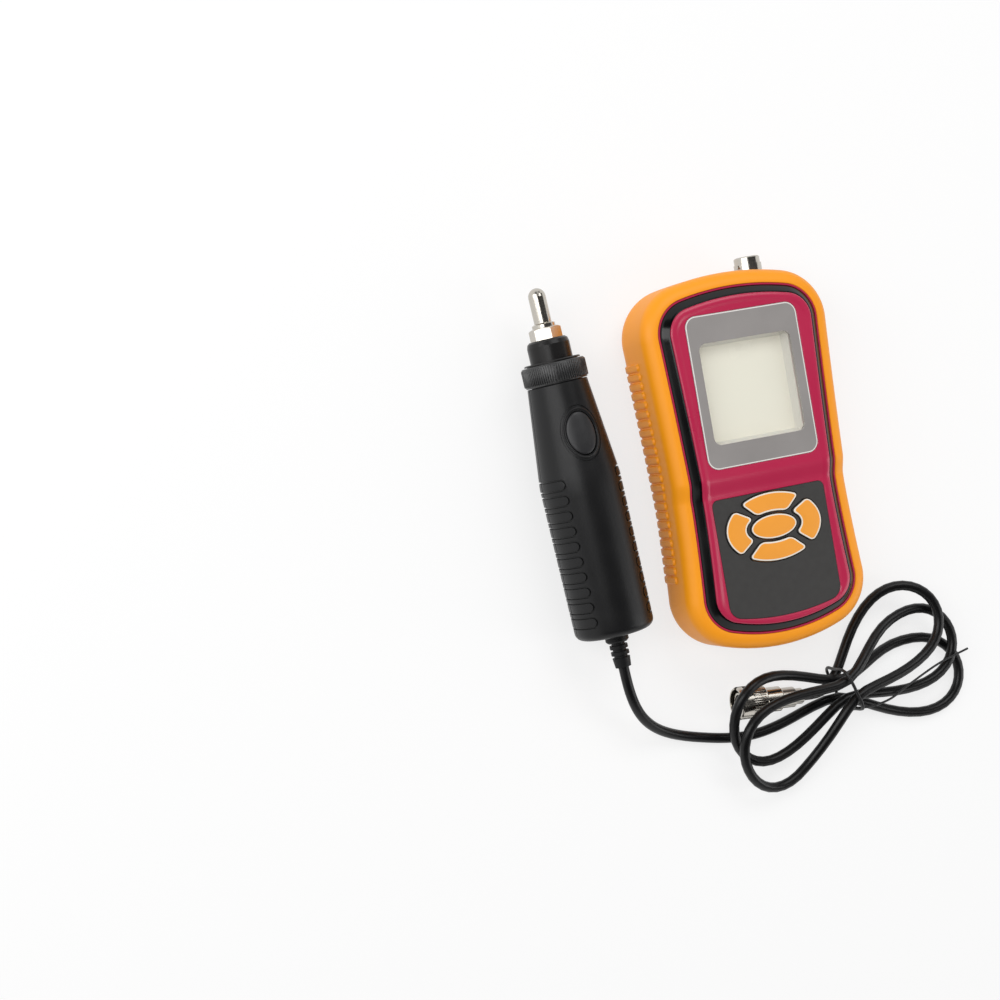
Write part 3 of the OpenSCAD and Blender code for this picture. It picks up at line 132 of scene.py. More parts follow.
lead_start = PROBE_TAIL - RELIEF_LEN * PROBE_DIR
lead_bend = lead_start - CORD_THICK * PROBE_DIR
hank_dir = unit([1, -0.28, 0])
first, last = hank_at(HANK_FROM), hank_at(HANK_TO)
first_dir = unit((hank_at(HANK_FROM + 0.002) - first) * [1, 1, 0])
last_dir = unit(last - hank_at(HANK_TO - 0.002))
plug_lead = PLUG_REAR - CORD_THICK * PLUG_DIR
turns = int(round((HANK_TO - HANK_FROM) * HANK_STEPS))
cord_route = np.vstack([
    [lead_start],
    bezier(lead_bend, lead_bend - 20 * PROBE_DIR, HANK_START - 24 * hank_dir, HANK_START, 40),
    bezier(HANK_START, HANK_START + 20 * hank_dir, first - 22 * first_dir, first, 20)[1:-1],
    [hank_at(HANK_FROM + (HANK_TO - HANK_FROM) * i / turns) for i in range(turns + 1)],
    bezier(last, last + 8 * last_dir, plug_lead - 7 * PLUG_DIR, plug_lead, 8)[1:],
    [PLUG_REAR]])


def skin(count, rings, closed=False, lids=True):
    """Faces over rings of count points each; closed joins the last ring to the first."""
    faces = [(k * count + i, k * count + (i + 1) % count,
              (k + 1) % rings * count + (i + 1) % count, (k + 1) % rings * count + i)
             for k in range(rings if closed else rings - 1) for i in range(count)]
    if lids and not closed:
        faces += [tuple(range(count)), tuple((rings - 1) * count + i for i in range(count))]
    return faces


def build(name, points, faces, material, crease=35.0, place=None, others=(), marks=None):
    """One closed mesh, given in millimetres, as an object with its place in its mesh. marks
    says which of the material and the others each face has."""
    points = np.asarray(points, float)
    mesh = bpy.data.meshes.new(name)
    mesh.from_pydata((points / 1000).tolist(), [], [tuple(int(i) for i in f) for f in faces])
    if place is not None:
        mesh.transform(place)
    for each in (material, *others):
        mesh.materials.append(each)
    if marks is not None:
        mesh.polygons.foreach_set("material_index", marks)
    solid = bmesh.new()
    solid.from_mesh(mesh)
    bmesh.ops.remove_doubles(solid, verts=solid.verts, dist=1e-6)
    bmesh.ops.recalc_face_normals(solid, faces=solid.faces)
    solid.to_mesh(mesh)
    solid.free()
    mesh.shade_smooth()
    mesh.set_sharp_from_angle(angle=math.radians(crease))
    return stand(name, mesh)


def sweep(route, radius, sides, closed=False):
    """Round tube along a route; its section is carried along without twist."""
    route = np.asarray(route, float)
    count = len(route)
    if closed:
        run = np.roll(route, -1, 0) - np.roll(route, 1, 0)
    else:
        run = np.gradient(route, axis=0)
    run /= np.linalg.norm(run, axis=1)[:, None]
    start = np.cross(run[0], [0, 0, 1])
    if np.linalg.norm(start) < 0.1:
        start = np.cross(run[0], [0, 1, 0])
    across = [unit(start)]
    for i in range(1, count):
        across.append(unit(across[-1] - run[i] * (across[-1] @ run[i])))
    slip = 0.0
    if closed:
        v = unit(across[-1] - run[0] * (across[-1] @ run[0]))
        slip = math.atan2(np.cross(across[0], v) @ run[0], across[0] @ v)
    angles = np.arange(sides) * 2 * math.pi / sides
    points = []
    for i in range(count):
        turn = angles - slip * i / count
        points.extend(route[i] + radius * (np.cos(turn)[:, None] * across[i]
                                           + np.sin(turn)[:, None] * np.cross(run[i], across[i])))
    return points, skin(sides, count, closed)


def feed(tree, thing, *values, **named):
    """Sets inputs of a node, in order or by name, to numbers, or links them to sockets."""
    for key, value in (*enumerate(values), *named.items()):
        socket = thing.inputs[key.replace("_", " ") if key in named else key]
        if isinstance(value, bpy.types.NodeSocket):
            tree.links.new(value, socket)
        else:
            socket.default_value = value


def node(tree, kind, *values, menu=None, **named):
    """Outputs of a new node, with the choices in its menus and its inputs given."""
    made = tree.nodes.new(kind)
    for word, choice in (menu or {}).items():
        setattr(made, word, choice)
    feed(tree, made, *values, **named)
    return made.outputs


def finish(name, colour, roughness, grain=0.5, depth=0.01, metallic=0.0, tone=0.1,
           patches=18.0, coat=0.0, stretch=(1, 1, 1), specular=0.5):
    """Moulded, painted or metal surface: fine grain, soft patches in colour and gloss.

    colour is as read on a screen, 0 to 255; grain is the size of the grain and depth its
    height in millimetres; patches is the size of the cloudy variation and tone its strength;
    stretch draws the grain out for brushed or turned metal."""
    material = bpy.data.materials.new(name)
    material.use_nodes = True
    tree = material.node_tree
    where = node(tree, "ShaderNodeTexCoord")["Object"]
    drawn = node(tree, "ShaderNodeMapping", Vector=where, Scale=stretch)["Vector"]
    cloud = node(tree, "ShaderNodeTexNoise", Vector=where, Scale=1000 / patches, Detail=4)["Fac"]
    fine = node(tree, "ShaderNodeTexNoise", Vector=drawn, Scale=1000 / grain, Detail=3)["Fac"]
    linear = [((c / 255 + 0.055) / 1.055) ** 2.4 if c > 10 else c / 255 / 12.92 for c in colour]
    dark = tuple(c * (1 - tone * 1.5) for c in linear) + (1,)
    light = tuple(min(1, c * (1 + tone)) for c in linear) + (1,)
    shade = node(tree, "ShaderNodeMix", menu={"data_type": "RGBA"}, Factor=cloud, A=dark,
                 B=light)["Result"]
    gloss = node(tree, "ShaderNodeMapRange", Value=cloud, To_Min=max(0.02, roughness - 0.07),
                 To_Max=min(1.0, roughness + 0.07))["Result"]
    bump = node(tree, "ShaderNodeBump", Height=fine, Strength=1.0,
                Distance=depth / 1000)["Normal"]
    feed(tree, tree.nodes["Principled BSDF"], Base_Color=shade, Roughness=gloss, Normal=bump,
         Metallic=metallic, Coat_Weight=coat, Coat_Roughness=0.08, Specular_IOR_Level=specular)
    return material


cord_jacket = finish("cord_jacket", (14, 14, 15), 0.34, depth=0.012, tone=0.15, patches=9,
                     specular=0.3)
cord = build("cord", *sweep(cord_route, CORD_THICK / 2, CORD_SIDES), cord_jacket, crease=60)

# Tie. A plastic-covered wire bound once round the waist of the hank; its long free end
# points away over the loops. It is bent by hand, so the loop is a little uneven.
WAIST_TURN = math.radians(17)
TIE_R, TIE_END_R, TIE_SIDES = 0.7, 0.5, 10
# Across the waist, and height above the table
TIE_LOOP = [(9.9, 6.5), (9.7, 11), (9.9, 15.4), (8.4, 18.9), (3.6, 20.3), (-2, 20.4),
            (-6.2, 20.5), (-9, 19.3), (-9.9, 16.6), (-10.2, 12), (-10.7, 8), (-10.8, 4.6),
            (-9.7, 1.7), (-6.8, 0.72), (0, 0.72), (6.4, 0.75), (9, 1.7), (10.1, 3.9)]
TIE_END = [(35.6, -117.2, 12), (36.9, -118.2, 12.6), (44, -118.8, 13.4), (54, -117.5, 13),
           (66, -113, 12), (82, -107.5, 11.3), (98, -104, 11)]


def through(points, steps, closed=False):
    """Smooth curve through points, the same number of steps between each two."""
    p = np.asarray(points, float)
    if closed:
        p = np.vstack([p[-1], p, p[0], p[1]])
    else:
        p = np.vstack([2 * p[0] - p[1], p, 2 * p[-1] - p[-2]])
    out = []
    for a, b, c, d in zip(p[:-3], p[1:-2], p[2:-1], p[3:]):
        for s in np.arange(steps) / steps:
            out.append(0.5 * (2 * b + (c - a) * s + (2 * a - 5 * b + 4 * c - d) * s * s
                              + (3 * b - a - 3 * c + d) * s ** 3))
    if not closed:
        out.append(p[-2])
    return np.array(out)


tie_loop = [(HANK_MIDDLE[0] - q * math.sin(WAIST_TURN),
             HANK_MIDDLE[1] + q * math.cos(WAIST_TURN), z) for q, z in TIE_LOOP]
loop_points, loop_faces = sweep(through(tie_loop, 5, True), TIE_R, TIE_SIDES, True)
end_points, end_faces = sweep(through(TIE_END, 8), TIE_END_R, TIE_SIDES)
end_faces = [tuple(i + len(loop_points) for i in f) for f in end_faces]
tie_cover = finish("tie_cover", (22, 22, 23), 0.42, grain=0.6)
tie = build("tie_wire", loop_points + end_points, loop_faces + end_faces, tie_cover, crease=60)
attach(tie, "meter")
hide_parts("cord_tie")
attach(cord, "meter")
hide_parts("cord_lead", "cord_hank")

# Boot. A soft orange rubber sleeve, moulded in one piece and stretched over the case. Its
# sides carry two dozen grip pads each, and its back has a window for the battery door.
METER_LEN = 162.0
WAIST_HALF, UPPER_HALF, LOWER_HALF = 41.1, 44.0, 42.8
WAIST_Y, UPPER_FLARE, LOWER_FLARE = -16.0, 1.3, 1.5
TOP_RADIUS, BOTTOM_RADIUS, CORNER_RADIUS = 126.0, 88.0, 22.0
HEAD_Y, FOOT_Y = METER_LEN / 2, -METER_LEN / 2
top_cy, bottom_cy = HEAD_Y - TOP_RADIUS, FOOT_Y + BOTTOM_RADIUS
upper_cx, lower_cx = UPPER_HALF - CORNER_RADIUS, LOWER_HALF - CORNER_RADIUS
upper_cy = top_cy + math.sqrt((TOP_RADIUS - CORNER_RADIUS) ** 2 - upper_cx ** 2)
lower_cy = bottom_cy - math.sqrt((BOTTOM_RADIUS - CORNER_RADIUS) ** 2 - lower_cx ** 2)
top_angle = math.atan2(upper_cx, upper_cy - top_cy)
bottom_angle = math.atan2(lower_cx, bottom_cy - lower_cy)
FRONT_STEP, STEP_FROM, STEP_TO = 2.3, -4.5, -13.5
LIP_Z, LIP_INSET, LIP_EDGE = 33.4, 6.27, 0.45
BOOT_WALL, BOOT_BACK, BOOT_GAP = 2.6, 2.5, 0.2
BOOT_SIDE_Z, BOOT_TURN_Z, BOOT_BACK_INSET = 12.0, 27.4, 9.0
LIP_UNDER_Z = LIP_Z - BOOT_BACK
BACK_LEVELS, LIP_LEVELS = 21, 12
PAD_TOP, PAD_LOW, PAD_PITCH, PAD_HIGH = 47.0, -45.0, 4.0, 0.85
PAD_HALF, PAD_END, PAD_EDGE = 1.75, 1.4, 0.55
PAD_LOW_Z, PAD_HIGH_Z = 3.2, 21.6
SIDES_FROM_X = 24
SOCKET_X, SOCKET_HOLE_R, PARTING_Z = 16.5, 7.6, 18.5
# The window in its back: half its width, where it begins and ends, and its corners' radius
BACK_WINDOW = (25, FOOT_Y + 16, FOOT_Y + 74, 4)


def side_half(y):
    """Half the meter's width: narrowest at the waist, flaring to both ends."""
    high = np.clip((y - WAIST_Y) / (upper_cy - WAIST_Y), 0, None)
    low = np.clip((WAIST_Y - y) / (WAIST_Y - lower_cy), 0, None)
    return (WAIST_HALF + (UPPER_HALF - WAIST_HALF) * high ** UPPER_FLARE
            + (LOWER_HALF - WAIST_HALF) * low ** LOWER_FLARE)


def meter_line(inset, stations):
    """Whole outline seen from the front, from the top middle round by the right side."""
    def arc(cx, cy, radius, angles):
        return np.stack([cx + (radius - inset) * np.sin(angles),
                         cy + (radius - inset) * np.cos(angles)], 1)
    right = np.vstack([
        arc(0, top_cy, TOP_RADIUS, np.linspace(0, top_angle, 9)[:-1]),
        arc(upper_cx, upper_cy, CORNER_RADIUS, np.linspace(top_angle, math.pi / 2, 19)),
        np.stack([side_half(stations) - inset, stations], 1),
        arc(lower_cx, lower_cy, CORNER_RADIUS,
            np.linspace(math.pi / 2, math.pi - bottom_angle, 19)),
        arc(0, bottom_cy, BOTTOM_RADIUS, math.pi - np.linspace(bottom_angle, 0, 9)[1:])])
    return np.vstack([right, right[-2:0:-1] * [-1, 1]])


def stations_every(spacing, fine=None):
    """Places along the sides, closer together over the step where fine is given."""
    y = list(np.arange(upper_cy - spacing, lower_cy + spacing / 2, -spacing))
    if fine:
        y = [v for v in y if not STEP_TO - 0.2 < v < STEP_FROM + 0.2]
        y += list(np.arange(STEP_FROM, STEP_TO - 0.01, -fine))
    return np.array(sorted(y, reverse=True))


def press_pads(level, z):
    """Presses the grip pads out of the sides: bars with round ends and a soft edge."""
    x, y = level[:, 0], level[:, 1]
    beat = (PAD_TOP - y) / PAD_PITCH
    off = np.abs(beat - np.round(beat)) * PAD_PITCH
    inside = ((y < PAD_TOP + 0.5 * PAD_PITCH) & (y > PAD_LOW - 0.5 * PAD_PITCH)
              & (np.abs(x) > SIDES_FROM_X))
    over = np.clip(off - (PAD_HALF - PAD_END), 0, None)
    past = max(0.0, z - (PAD_HIGH_Z - PAD_END), PAD_LOW_Z + PAD_END - z)
    edge = np.sqrt(over ** 2 + past ** 2) - PAD_END
    level[:, 0] += np.sign(x) * np.where(inside, ease(-edge / PAD_EDGE) * PAD_HIGH, 0)


def loft(levels, stations, ring=False, padded=0):
    """Stacked outlines; a level is (inset, height, share of the front's step it follows).
    A ring's last level meets its first; the first padded levels carry the grip pads."""
    points = []
    for k, (inset, z, follow) in enumerate(levels):
        line = meter_line(inset, stations)
        drop = follow * FRONT_STEP * ease((STEP_FROM - line[:, 1]) / (STEP_FROM - STEP_TO))
        points.append(np.column_stack([line, z - drop]))
        if k < padded:
            press_pads(points[-1], z)
    count = len(points[0])
    faces = skin(count, len(levels), ring, lids=False)
    for start in () if ring else (0, (len(levels) - 1) * count):
        for i in range(count // 2):
            m, k = (count - i) % count, count - i - 1
            faces.append(tuple(dict.fromkeys((start + i, start + i + 1, start + k, start + m))))
    return np.vstack(points), faces


def shoulder(inset, to_inset, to_z, count):
    """Levels of the curve from an upright side over to the lip."""
    return [(inset + (to_inset - inset) * (1 - math.cos(t)),
             BOOT_TURN_Z + (to_z - BOOT_TURN_Z) * math.sin(t), 1)
            for t in np.linspace(0, math.pi / 2, count)]


def settled(thing):
    """The thing's mesh, with its modifiers applied."""
    bpy.context.view_layer.update()
    return bpy.data.meshes.new_from_object(
        thing.evaluated_get(bpy.context.evaluated_depsgraph_get()))


def discard(*things):
    for thing in things:
        waste = thing.data
        bpy.data.objects.remove(thing)
        bpy.data.meshes.remove(waste)


def cut(piece, *shapes):
    """Cuts shapes, each its points and faces, out of a piece."""
    cutters = [build("cutter", *shape, piece.data.materials[0]) for shape in shapes]
    for cutter in cutters:
        knife = piece.modifiers.new("knife", "BOOLEAN")
        knife.operation, knife.solver, knife.object = "DIFFERENCE", "EXACT", cutter
    done = settled(piece)
    piece.modifiers.clear()
    whole, name = piece.data, piece.data.name
    piece.data = done
    bpy.data.meshes.remove(whole)
    done.name = name
    discard(*cutters)


def soft_box(half, y0, y1, radius, grow=0.0, steps=10):
    """Outline of a rectangle with round corners, moved out by grow."""
    x0, x1, y0, y1, radius = -half - grow, half + grow, y0 - grow, y1 + grow, radius + grow
    out = []
    for cx, cy, turn in ((x1 - radius, y1 - radius, 0), (x0 + radius, y1 - radius, 90),
                         (x0 + radius, y0 + radius, 180), (x1 - radius, y0 + radius, 270)):
        for i in range(steps + 1):
            a = math.radians(turn + 90 * i / steps)
            out.append((cx + radius * math.cos(a), cy + radius * math.sin(a)))
    return np.array(out)


def tower(rings):
    """Closed solid from rings of equal count, each (outline, height)."""
    count = len(rings[0][0])
    points = np.vstack([np.column_stack([line, np.full(count, z)]) for line, z in rings])
    return points, skin(count, len(rings))


def prism(line, low, high):
    return tower([(line, low), (line, high)])


def rod(x, z, y0, y1, radius, sides=48):
    """Round bar along the meter, as a cutter."""
    a = np.arange(sides) * 2 * math.pi / sides
    ring = np.stack([x + radius * np.cos(a), np.zeros(sides), z + radius * np.sin(a)], 1)
    return np.vstack([ring + [0, y0, 0], ring + [0, y1, 0]]), skin(sides, 2)


side_heights = np.concatenate([np.arange(13, 17, 1.0), np.arange(17, 22.4, 0.45),
                               np.arange(23, BOOT_TURN_Z, 1.1)])
boot_levels = [(BOOT_BACK_INSET * (1 - math.sin(t)), BOOT_SIDE_Z * (1 - math.cos(t)), 0)
               for t in np.linspace(0, math.pi / 2, BACK_LEVELS)]
boot_levels += [(0, z, (z - BOOT_SIDE_Z) / (BOOT_TURN_Z - BOOT_SIDE_Z)) for z in side_heights]
boot_levels += shoulder(0, LIP_INSET - LIP_EDGE, LIP_Z, LIP_LEVELS)
outside_levels = len(boot_levels)
boot_levels += [(LIP_INSET - 0.12, LIP_Z - 0.04, 1), (LIP_INSET, LIP_Z - 0.2, 1),
                (LIP_INSET, LIP_UNDER_Z, 1)]
boot_levels += shoulder(BOOT_WALL, LIP_INSET, LIP_UNDER_Z, 5)[-2::-1]
boot_levels += [(BOOT_WALL + (BOOT_BACK_INSET - BOOT_WALL + 0.4) * (1 - math.sin(t)),
                 BOOT_SIDE_Z - (BOOT_SIDE_Z - BOOT_BACK) * math.cos(t), 0)
                for t in np.linspace(math.pi / 2, 0, 8)]
boot_rubber = finish("boot_rubber", (255, 158, 12), 0.46, grain=0.45, depth=0.016, tone=0.05,
                     patches=30, specular=0.4)
boot = build("boot_sleeve", *loft(boot_levels, stations_every(0.5), padded=outside_levels),
             boot_rubber, crease=40)
back_window = [(soft_box(*BACK_WINDOW, grow), z)
               for grow, z in ((1, -0.5), (0.5, 0.0), (0, 0.5), (0, 4))]
cut(boot, tower(back_window),
    rod(SOCKET_X, PARTING_Z, HEAD_Y - 11, HEAD_Y + 9, SOCKET_HOLE_R))
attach(boot, "meter")
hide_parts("boot")

# Case. Two shells and a battery door, moulded in crimson plastic; the front shell is made
# here. A soft raised rim runs round its face, the face steps down to the keypad, and pockets
# are sunk in it for the lens and the keypad sheet, with windows that the keys come through.
CASE_IN, CASE_WALL = BOOT_WALL + BOOT_GAP, 2.0
INNER_IN = CASE_IN + CASE_WALL
TONGUE_IN, TONGUE_Z = INNER_IN - 0.9, PARTING_Z - 1.2
TRIM_IN, TRIM_OUT, GROOVE_Z = 7.19, 10.69, 31.4
WEB_Z, WEB_LOW = 34.0, 29.0
LENS_Z, LENS_THICK, LENS_Y0, LENS_Y1 = 36.5, 1.3, FOOT_Y + 79.8, HEAD_Y - 17
# The lens: half its width, where it begins and ends, and its corners' radius
LENS_BOX = (26.25, LENS_Y0, LENS_Y1, 5.0)
SEAT_GAP, MOVE_GAP = 0.1, 0.35
WINDOW_HALF, WINDOW_Y0, WINDOW_Y1 = 21.6, LENS_Y0 + 10.1, LENS_Y1 - 12
BARREL_R, BARREL_HOLE_R = 5.6, 7.3
KEY_FACE_Z = LENS_Z - FRONT_STEP
SHEET_Z, SHEET_LOW = KEY_FACE_Z - 0.1, KEY_FACE_Z - 1.1
KEY_Y, KEY_A, KEY_B, KEY_CORNER = FOOT_Y + 51.8, 22.7, 14.7, 2.0
CENTRE_A, CENTRE_B = 10.85, 5.2
# Middle of each key, and the corner and two directions of each outer key's wedge, as shares
# of the half axes of the oval that the five keys fill
KEY_PLACES = [(0, 0), (0, 0.687), (0.7885, 0.0136), (0, -0.7143), (-0.7885, 0.0136)]
WEDGES = {1: [(0, -0.095), (0.84, 1.115), (-0.84, 1.115)],
          2: [(0.107, 0.088), (1.145, -1.115), (1.145, 0.96)],
          3: [(0, 0.065), (-0.97, -1.26), (0.97, -1.26)],
          4: [(-0.107, 0.088), (-1.145, 0.96), (-1.145, -1.115)]}
SHEET_HALF, SHEET_CORNER, SHEET_TOP_CORNER = 26.7, 6.0, 2.75
SHEET_BOW, SHEET_TOP = 106.0, FOOT_Y + 51.8 + 15.3
sheet_cy, sheet_cx = FOOT_Y + 13.6 + SHEET_BOW, SHEET_HALF - SHEET_CORNER
sheet_low_y = sheet_cy - math.sqrt((SHEET_BOW - SHEET_CORNER) ** 2 - sheet_cx ** 2)
sheet_angle = math.asin(sheet_cx / (SHEET_BOW - SHEET_CORNER))


def oval_depth(x, y, a, b):
    """Distance outside an oval, near its edge."""
    level = x * x / a / a + y * y / b / b - 1
    return level / (2 * np.sqrt(x * x / a ** 4 + y * y / b ** 4) + 1e-9)


def key_depth(k, x, y):
    """How far a point, taken from the middle of the keys, lies outside key k."""
    if k == 0:
        return oval_depth(x, y, CENTRE_A, CENTRE_B)
    walls = [oval_depth(x, y, KEY_A, KEY_B), -oval_depth(x, y, CENTRE_A + 2.15, CENTRE_B + 1.1)]
    apex, one, two = [np.array([u * KEY_A, v * KEY_B]) for u, v in WEDGES[k]]
    for corner, turn in ((one, 1), (two, -1)):
        run = unit(corner - apex)
        walls.append(turn * (run[1] * (x - apex[0]) - run[0] * (y - apex[1])))
    walls = np.array(walls) + KEY_CORNER
    out = np.sqrt((np.clip(walls, 0, None) ** 2).sum(0)) + np.clip(walls.max(0), None, 0)
    return out - KEY_CORNER


def key_line(k, grow, count=360):
    """Outline of key k, moved out by grow, found along rays from the key's middle."""
    cx, cy = KEY_PLACES[k][0] * KEY_A, KEY_PLACES[k][1] * KEY_B
    a = np.arange(count) * 2 * math.pi / count
    if k in (0, 1, 3):
        a = np.arctan2(np.sin(a) * 0.5, np.cos(a))
    else:
        a = np.arctan2(np.sin(a), np.cos(a) * 0.6)
    low, high = np.zeros(count), np.full(count, 26.0)
    for _ in range(40):
        middle = (low + high) / 2
        inside = key_depth(k, cx + middle * np.cos(a), cy + middle * np.sin(a)) < grow
        low, high = np.where(inside, middle, low), np.where(inside, high, middle)
    return np.column_stack([cx + low * np.cos(a), cy + low * np.sin(a) + KEY_Y])


def sheet_line(inset):
    """Keypad sheet: straight top and sides, and a bottom edge that bows out."""
    right = []
    for cx, cy, radius, angles in (
            (SHEET_HALF - SHEET_TOP_CORNER, SHEET_TOP - SHEET_TOP_CORNER, SHEET_TOP_CORNER,
             np.linspace(0, math.pi / 2, 9)),
            (sheet_cx, sheet_low_y, SHEET_CORNER,
             np.linspace(math.pi / 2, math.pi - sheet_angle, 13))):
        right += [(cx + (radius - inset) * math.sin(a), cy + (radius - inset) * math.cos(a))
                  for a in angles]
    right += [((SHEET_BOW - inset) * math.sin(a), sheet_cy - (SHEET_BOW - inset) * math.cos(a))
              for a in np.linspace(sheet_angle, 0, 10)[1:-1]]
    right = np.array(right)
    return np.vstack([right, [(0, sheet_cy - SHEET_BOW + inset)], right[::-1] * [-1, 1]])


def dress(material, *words):
    """Gives its finish to each CAD node that keeps its shape."""
    for word in words:
        for place in nodes[word].material_slots:
            place.material = material


front_levels = [(TRIM_OUT + 2, WEB_Z, 1), (TRIM_OUT + 2, WEB_LOW, 1),
                (INNER_IN + 2.4, WEB_LOW, 1), (INNER_IN, 26, 1), (INNER_IN, TONGUE_Z, 0),
                (TONGUE_IN, TONGUE_Z, 0), (TONGUE_IN, PARTING_Z, 0), (CASE_IN, PARTING_Z, 0)]
front_levels += shoulder(CASE_IN, LIP_INSET + BOOT_GAP, LIP_UNDER_Z - BOOT_GAP, 5)
front_levels += [(LIP_INSET + BOOT_GAP, LIP_Z - 0.12, 1), (LIP_INSET + BOOT_GAP + 0.1, LIP_Z, 1),
                 (TRIM_IN - 0.1, LIP_Z, 1), (TRIM_IN, LIP_Z - 0.12, 1), (TRIM_IN, GROOVE_Z, 1),
                 (TRIM_OUT, GROOVE_Z, 1)]
# The raised rim, from its foot in the groove over its crown to the face
front_levels += [(TRIM_OUT + inwards, LENS_Z + up, 1) for inwards, up in (
    (0, -0.35), (0.1, -0.1), (0.35, 0.13), (0.75, 0.28), (1.3, 0.38), (1.9, 0.4), (2.5, 0.33),
    (3.0, 0.19), (3.4, 0.06), (3.8, 0))]
case_crimson = finish("case_crimson", (184, 32, 74), 0.3, depth=0.008, tone=0.05, patches=35,
                      coat=0.12)
front = build("front_case", *loft(front_levels, stations_every(1.6, 0.6)), case_crimson,
              crease=35)
lens_hole = [soft_box(*LENS_BOX, SEAT_GAP + more) for more in (0, 0, 0.25, 1.25)]
sheet_hole = [sheet_line(-SEAT_GAP - more) for more in (0, 0, 0.2, 2)]
knives = [
    tower(list(zip(lens_hole, (LENS_Z - LENS_THICK, LENS_Z - 0.25, LENS_Z, LENS_Z + 1)))),
    prism(soft_box(WINDOW_HALF, WINDOW_Y0, WINDOW_Y1, 2, 1), WEB_Z - 4, LENS_Z - 0.5),
    tower(list(zip(sheet_hole, (SHEET_LOW, KEY_FACE_Z - 0.2, KEY_FACE_Z, KEY_FACE_Z + 1.8)))),
    rod(SOCKET_X, PARTING_Z, HEAD_Y - 4.6, HEAD_Y + 9, BARREL_HOLE_R),
    rod(SOCKET_X, PARTING_Z, HEAD_Y - 11, HEAD_Y + 9, BARREL_R)]
knives += [prism(key_line(k, MOVE_GAP, 120), SHEET_LOW - 3, SHEET_LOW + 3) for k in range(5)]
cut(front, *knives)
front.data.set_sharp_from_angle(angle=math.radians(30))
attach(front, "meter")
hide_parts("front_shell")
dress(case_crimson, "rear_shell", "battery_door")

# Trim ring. A gloss black moulding pressed into the groove between boot and bezel; it
# follows the face down to the keypad, so it has a visible kink on both sides.
trim_levels = [(TRIM_IN + SEAT_GAP, GROOVE_Z, 1), (TRIM_IN + SEAT_GAP, LIP_Z - 0.15, 1),
               (TRIM_IN + SEAT_GAP + 0.15, LIP_Z + 0.12, 1), (TRIM_IN + 0.9, LIP_Z + 0.75, 1),
               (TRIM_IN + 1.7, LIP_Z + 1.5, 1), (TRIM_IN + 2.5, LIP_Z + 2.2, 1),
               (TRIM_OUT - SEAT_GAP - 0.35, LENS_Z - 0.4, 1),
               (TRIM_OUT - SEAT_GAP - 0.12, LENS_Z - 0.32, 1),
               (TRIM_OUT - SEAT_GAP, LENS_Z - 0.45, 1), (TRIM_OUT - SEAT_GAP, GROOVE_Z, 1)]
trim_gloss = finish("trim_gloss", (6, 6, 7), 0.16, grain=2.5, depth=0.006, specular=0.3)
trim = build("trim_moulding", *loft(trim_levels, stations_every(1.6, 0.6), ring=True),
             trim_gloss, crease=50)
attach(trim, "meter")
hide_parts("trim_ring")

# Lens. A polished acrylic plate, printed grey on its back up to a window, with a fine pale
# line round its edge. The window itself is clear, and the liquid crystal lies deep under it.
WINDOW_CORNER = 3.2


def plate(name, loops, rings, low, material, others=(), marked=(), crease=30.0):
    """Flat piece with holes. loops are functions of an inset, the outer edge first; rings are
    (inset, height) from the top of the wall inwards over the face, of which the holes have
    the first two; marked numbers the strips of a second finish."""
    solid = bmesh.new()
    tops, bottoms = [], []
    for number, loop in enumerate(loops):
        count = len(loop(0))
        layers = [[solid.verts.new((x / 1000, y / 1000, low / 1000)) for x, y in loop(0)]]
        for inset, z in rings[:2] if number else rings:
            layers.append([solid.verts.new((x / 1000, y / 1000, z / 1000))
                           for x, y in loop(inset)])
        for strip, (a, b) in enumerate(zip(layers, layers[1:])):
            for i in range(count):
                j = (i + 1) % count
                face = solid.faces.new((a[i], a[j], b[j], b[i]))
                if not number and strip in marked:
                    face.material_index = 1
        for group, layer in ((bottoms, layers[0]), (tops, layers[-1])):
            group += [solid.edges.get((layer[i], layer[(i + 1) % count]))
                      for i in range(count)]
    for group in (tops, bottoms):
        bmesh.ops.triangle_fill(solid, use_beauty=True, use_dissolve=True, edges=group)
    bmesh.ops.recalc_face_normals(solid, faces=solid.faces)
    mesh = bpy.data.meshes.new(name)
    solid.to_mesh(mesh)
    solid.free()
    for each in (material, *others):
        mesh.materials.append(each)
    mesh.shade_smooth()
    mesh.set_sharp_from_angle(angle=math.radians(crease))
    return stand(name, mesh)


def lens_edge(inset):
    return soft_box(*LENS_BOX, -inset)


def window_edge(grow):
    return soft_box(WINDOW_HALF, WINDOW_Y0, WINDOW_Y1, WINDOW_CORNER, grow)


def bare_tree(owner):
    """The node tree of a material or of the world, emptied."""
    owner.use_nodes = True
    owner.node_tree.nodes.clear()
    return owner.node_tree


def maths(tree, operation, *values):
    """A sum on numbers and sockets."""
    return node(tree, "ShaderNodeMath", *values, menu={"operation": operation})[0]


lens_print = finish("lens_print", (152, 148, 146), 0.1, grain=3, depth=0.002, tone=0.14,
                    patches=26, coat=0.6)
lens_edge_line = finish("lens_edge_line", (232, 230, 226), 0.2, grain=2, depth=0.002, tone=0.02)
lens = plate("lens_plate", [lens_edge, window_edge],
             [(0, LENS_Z - 0.1), (0.1, LENS_Z), (0.18, LENS_Z), (0.55, LENS_Z)],
             LENS_Z - LENS_THICK, lens_print, [lens_edge_line], marked=(1, 3))
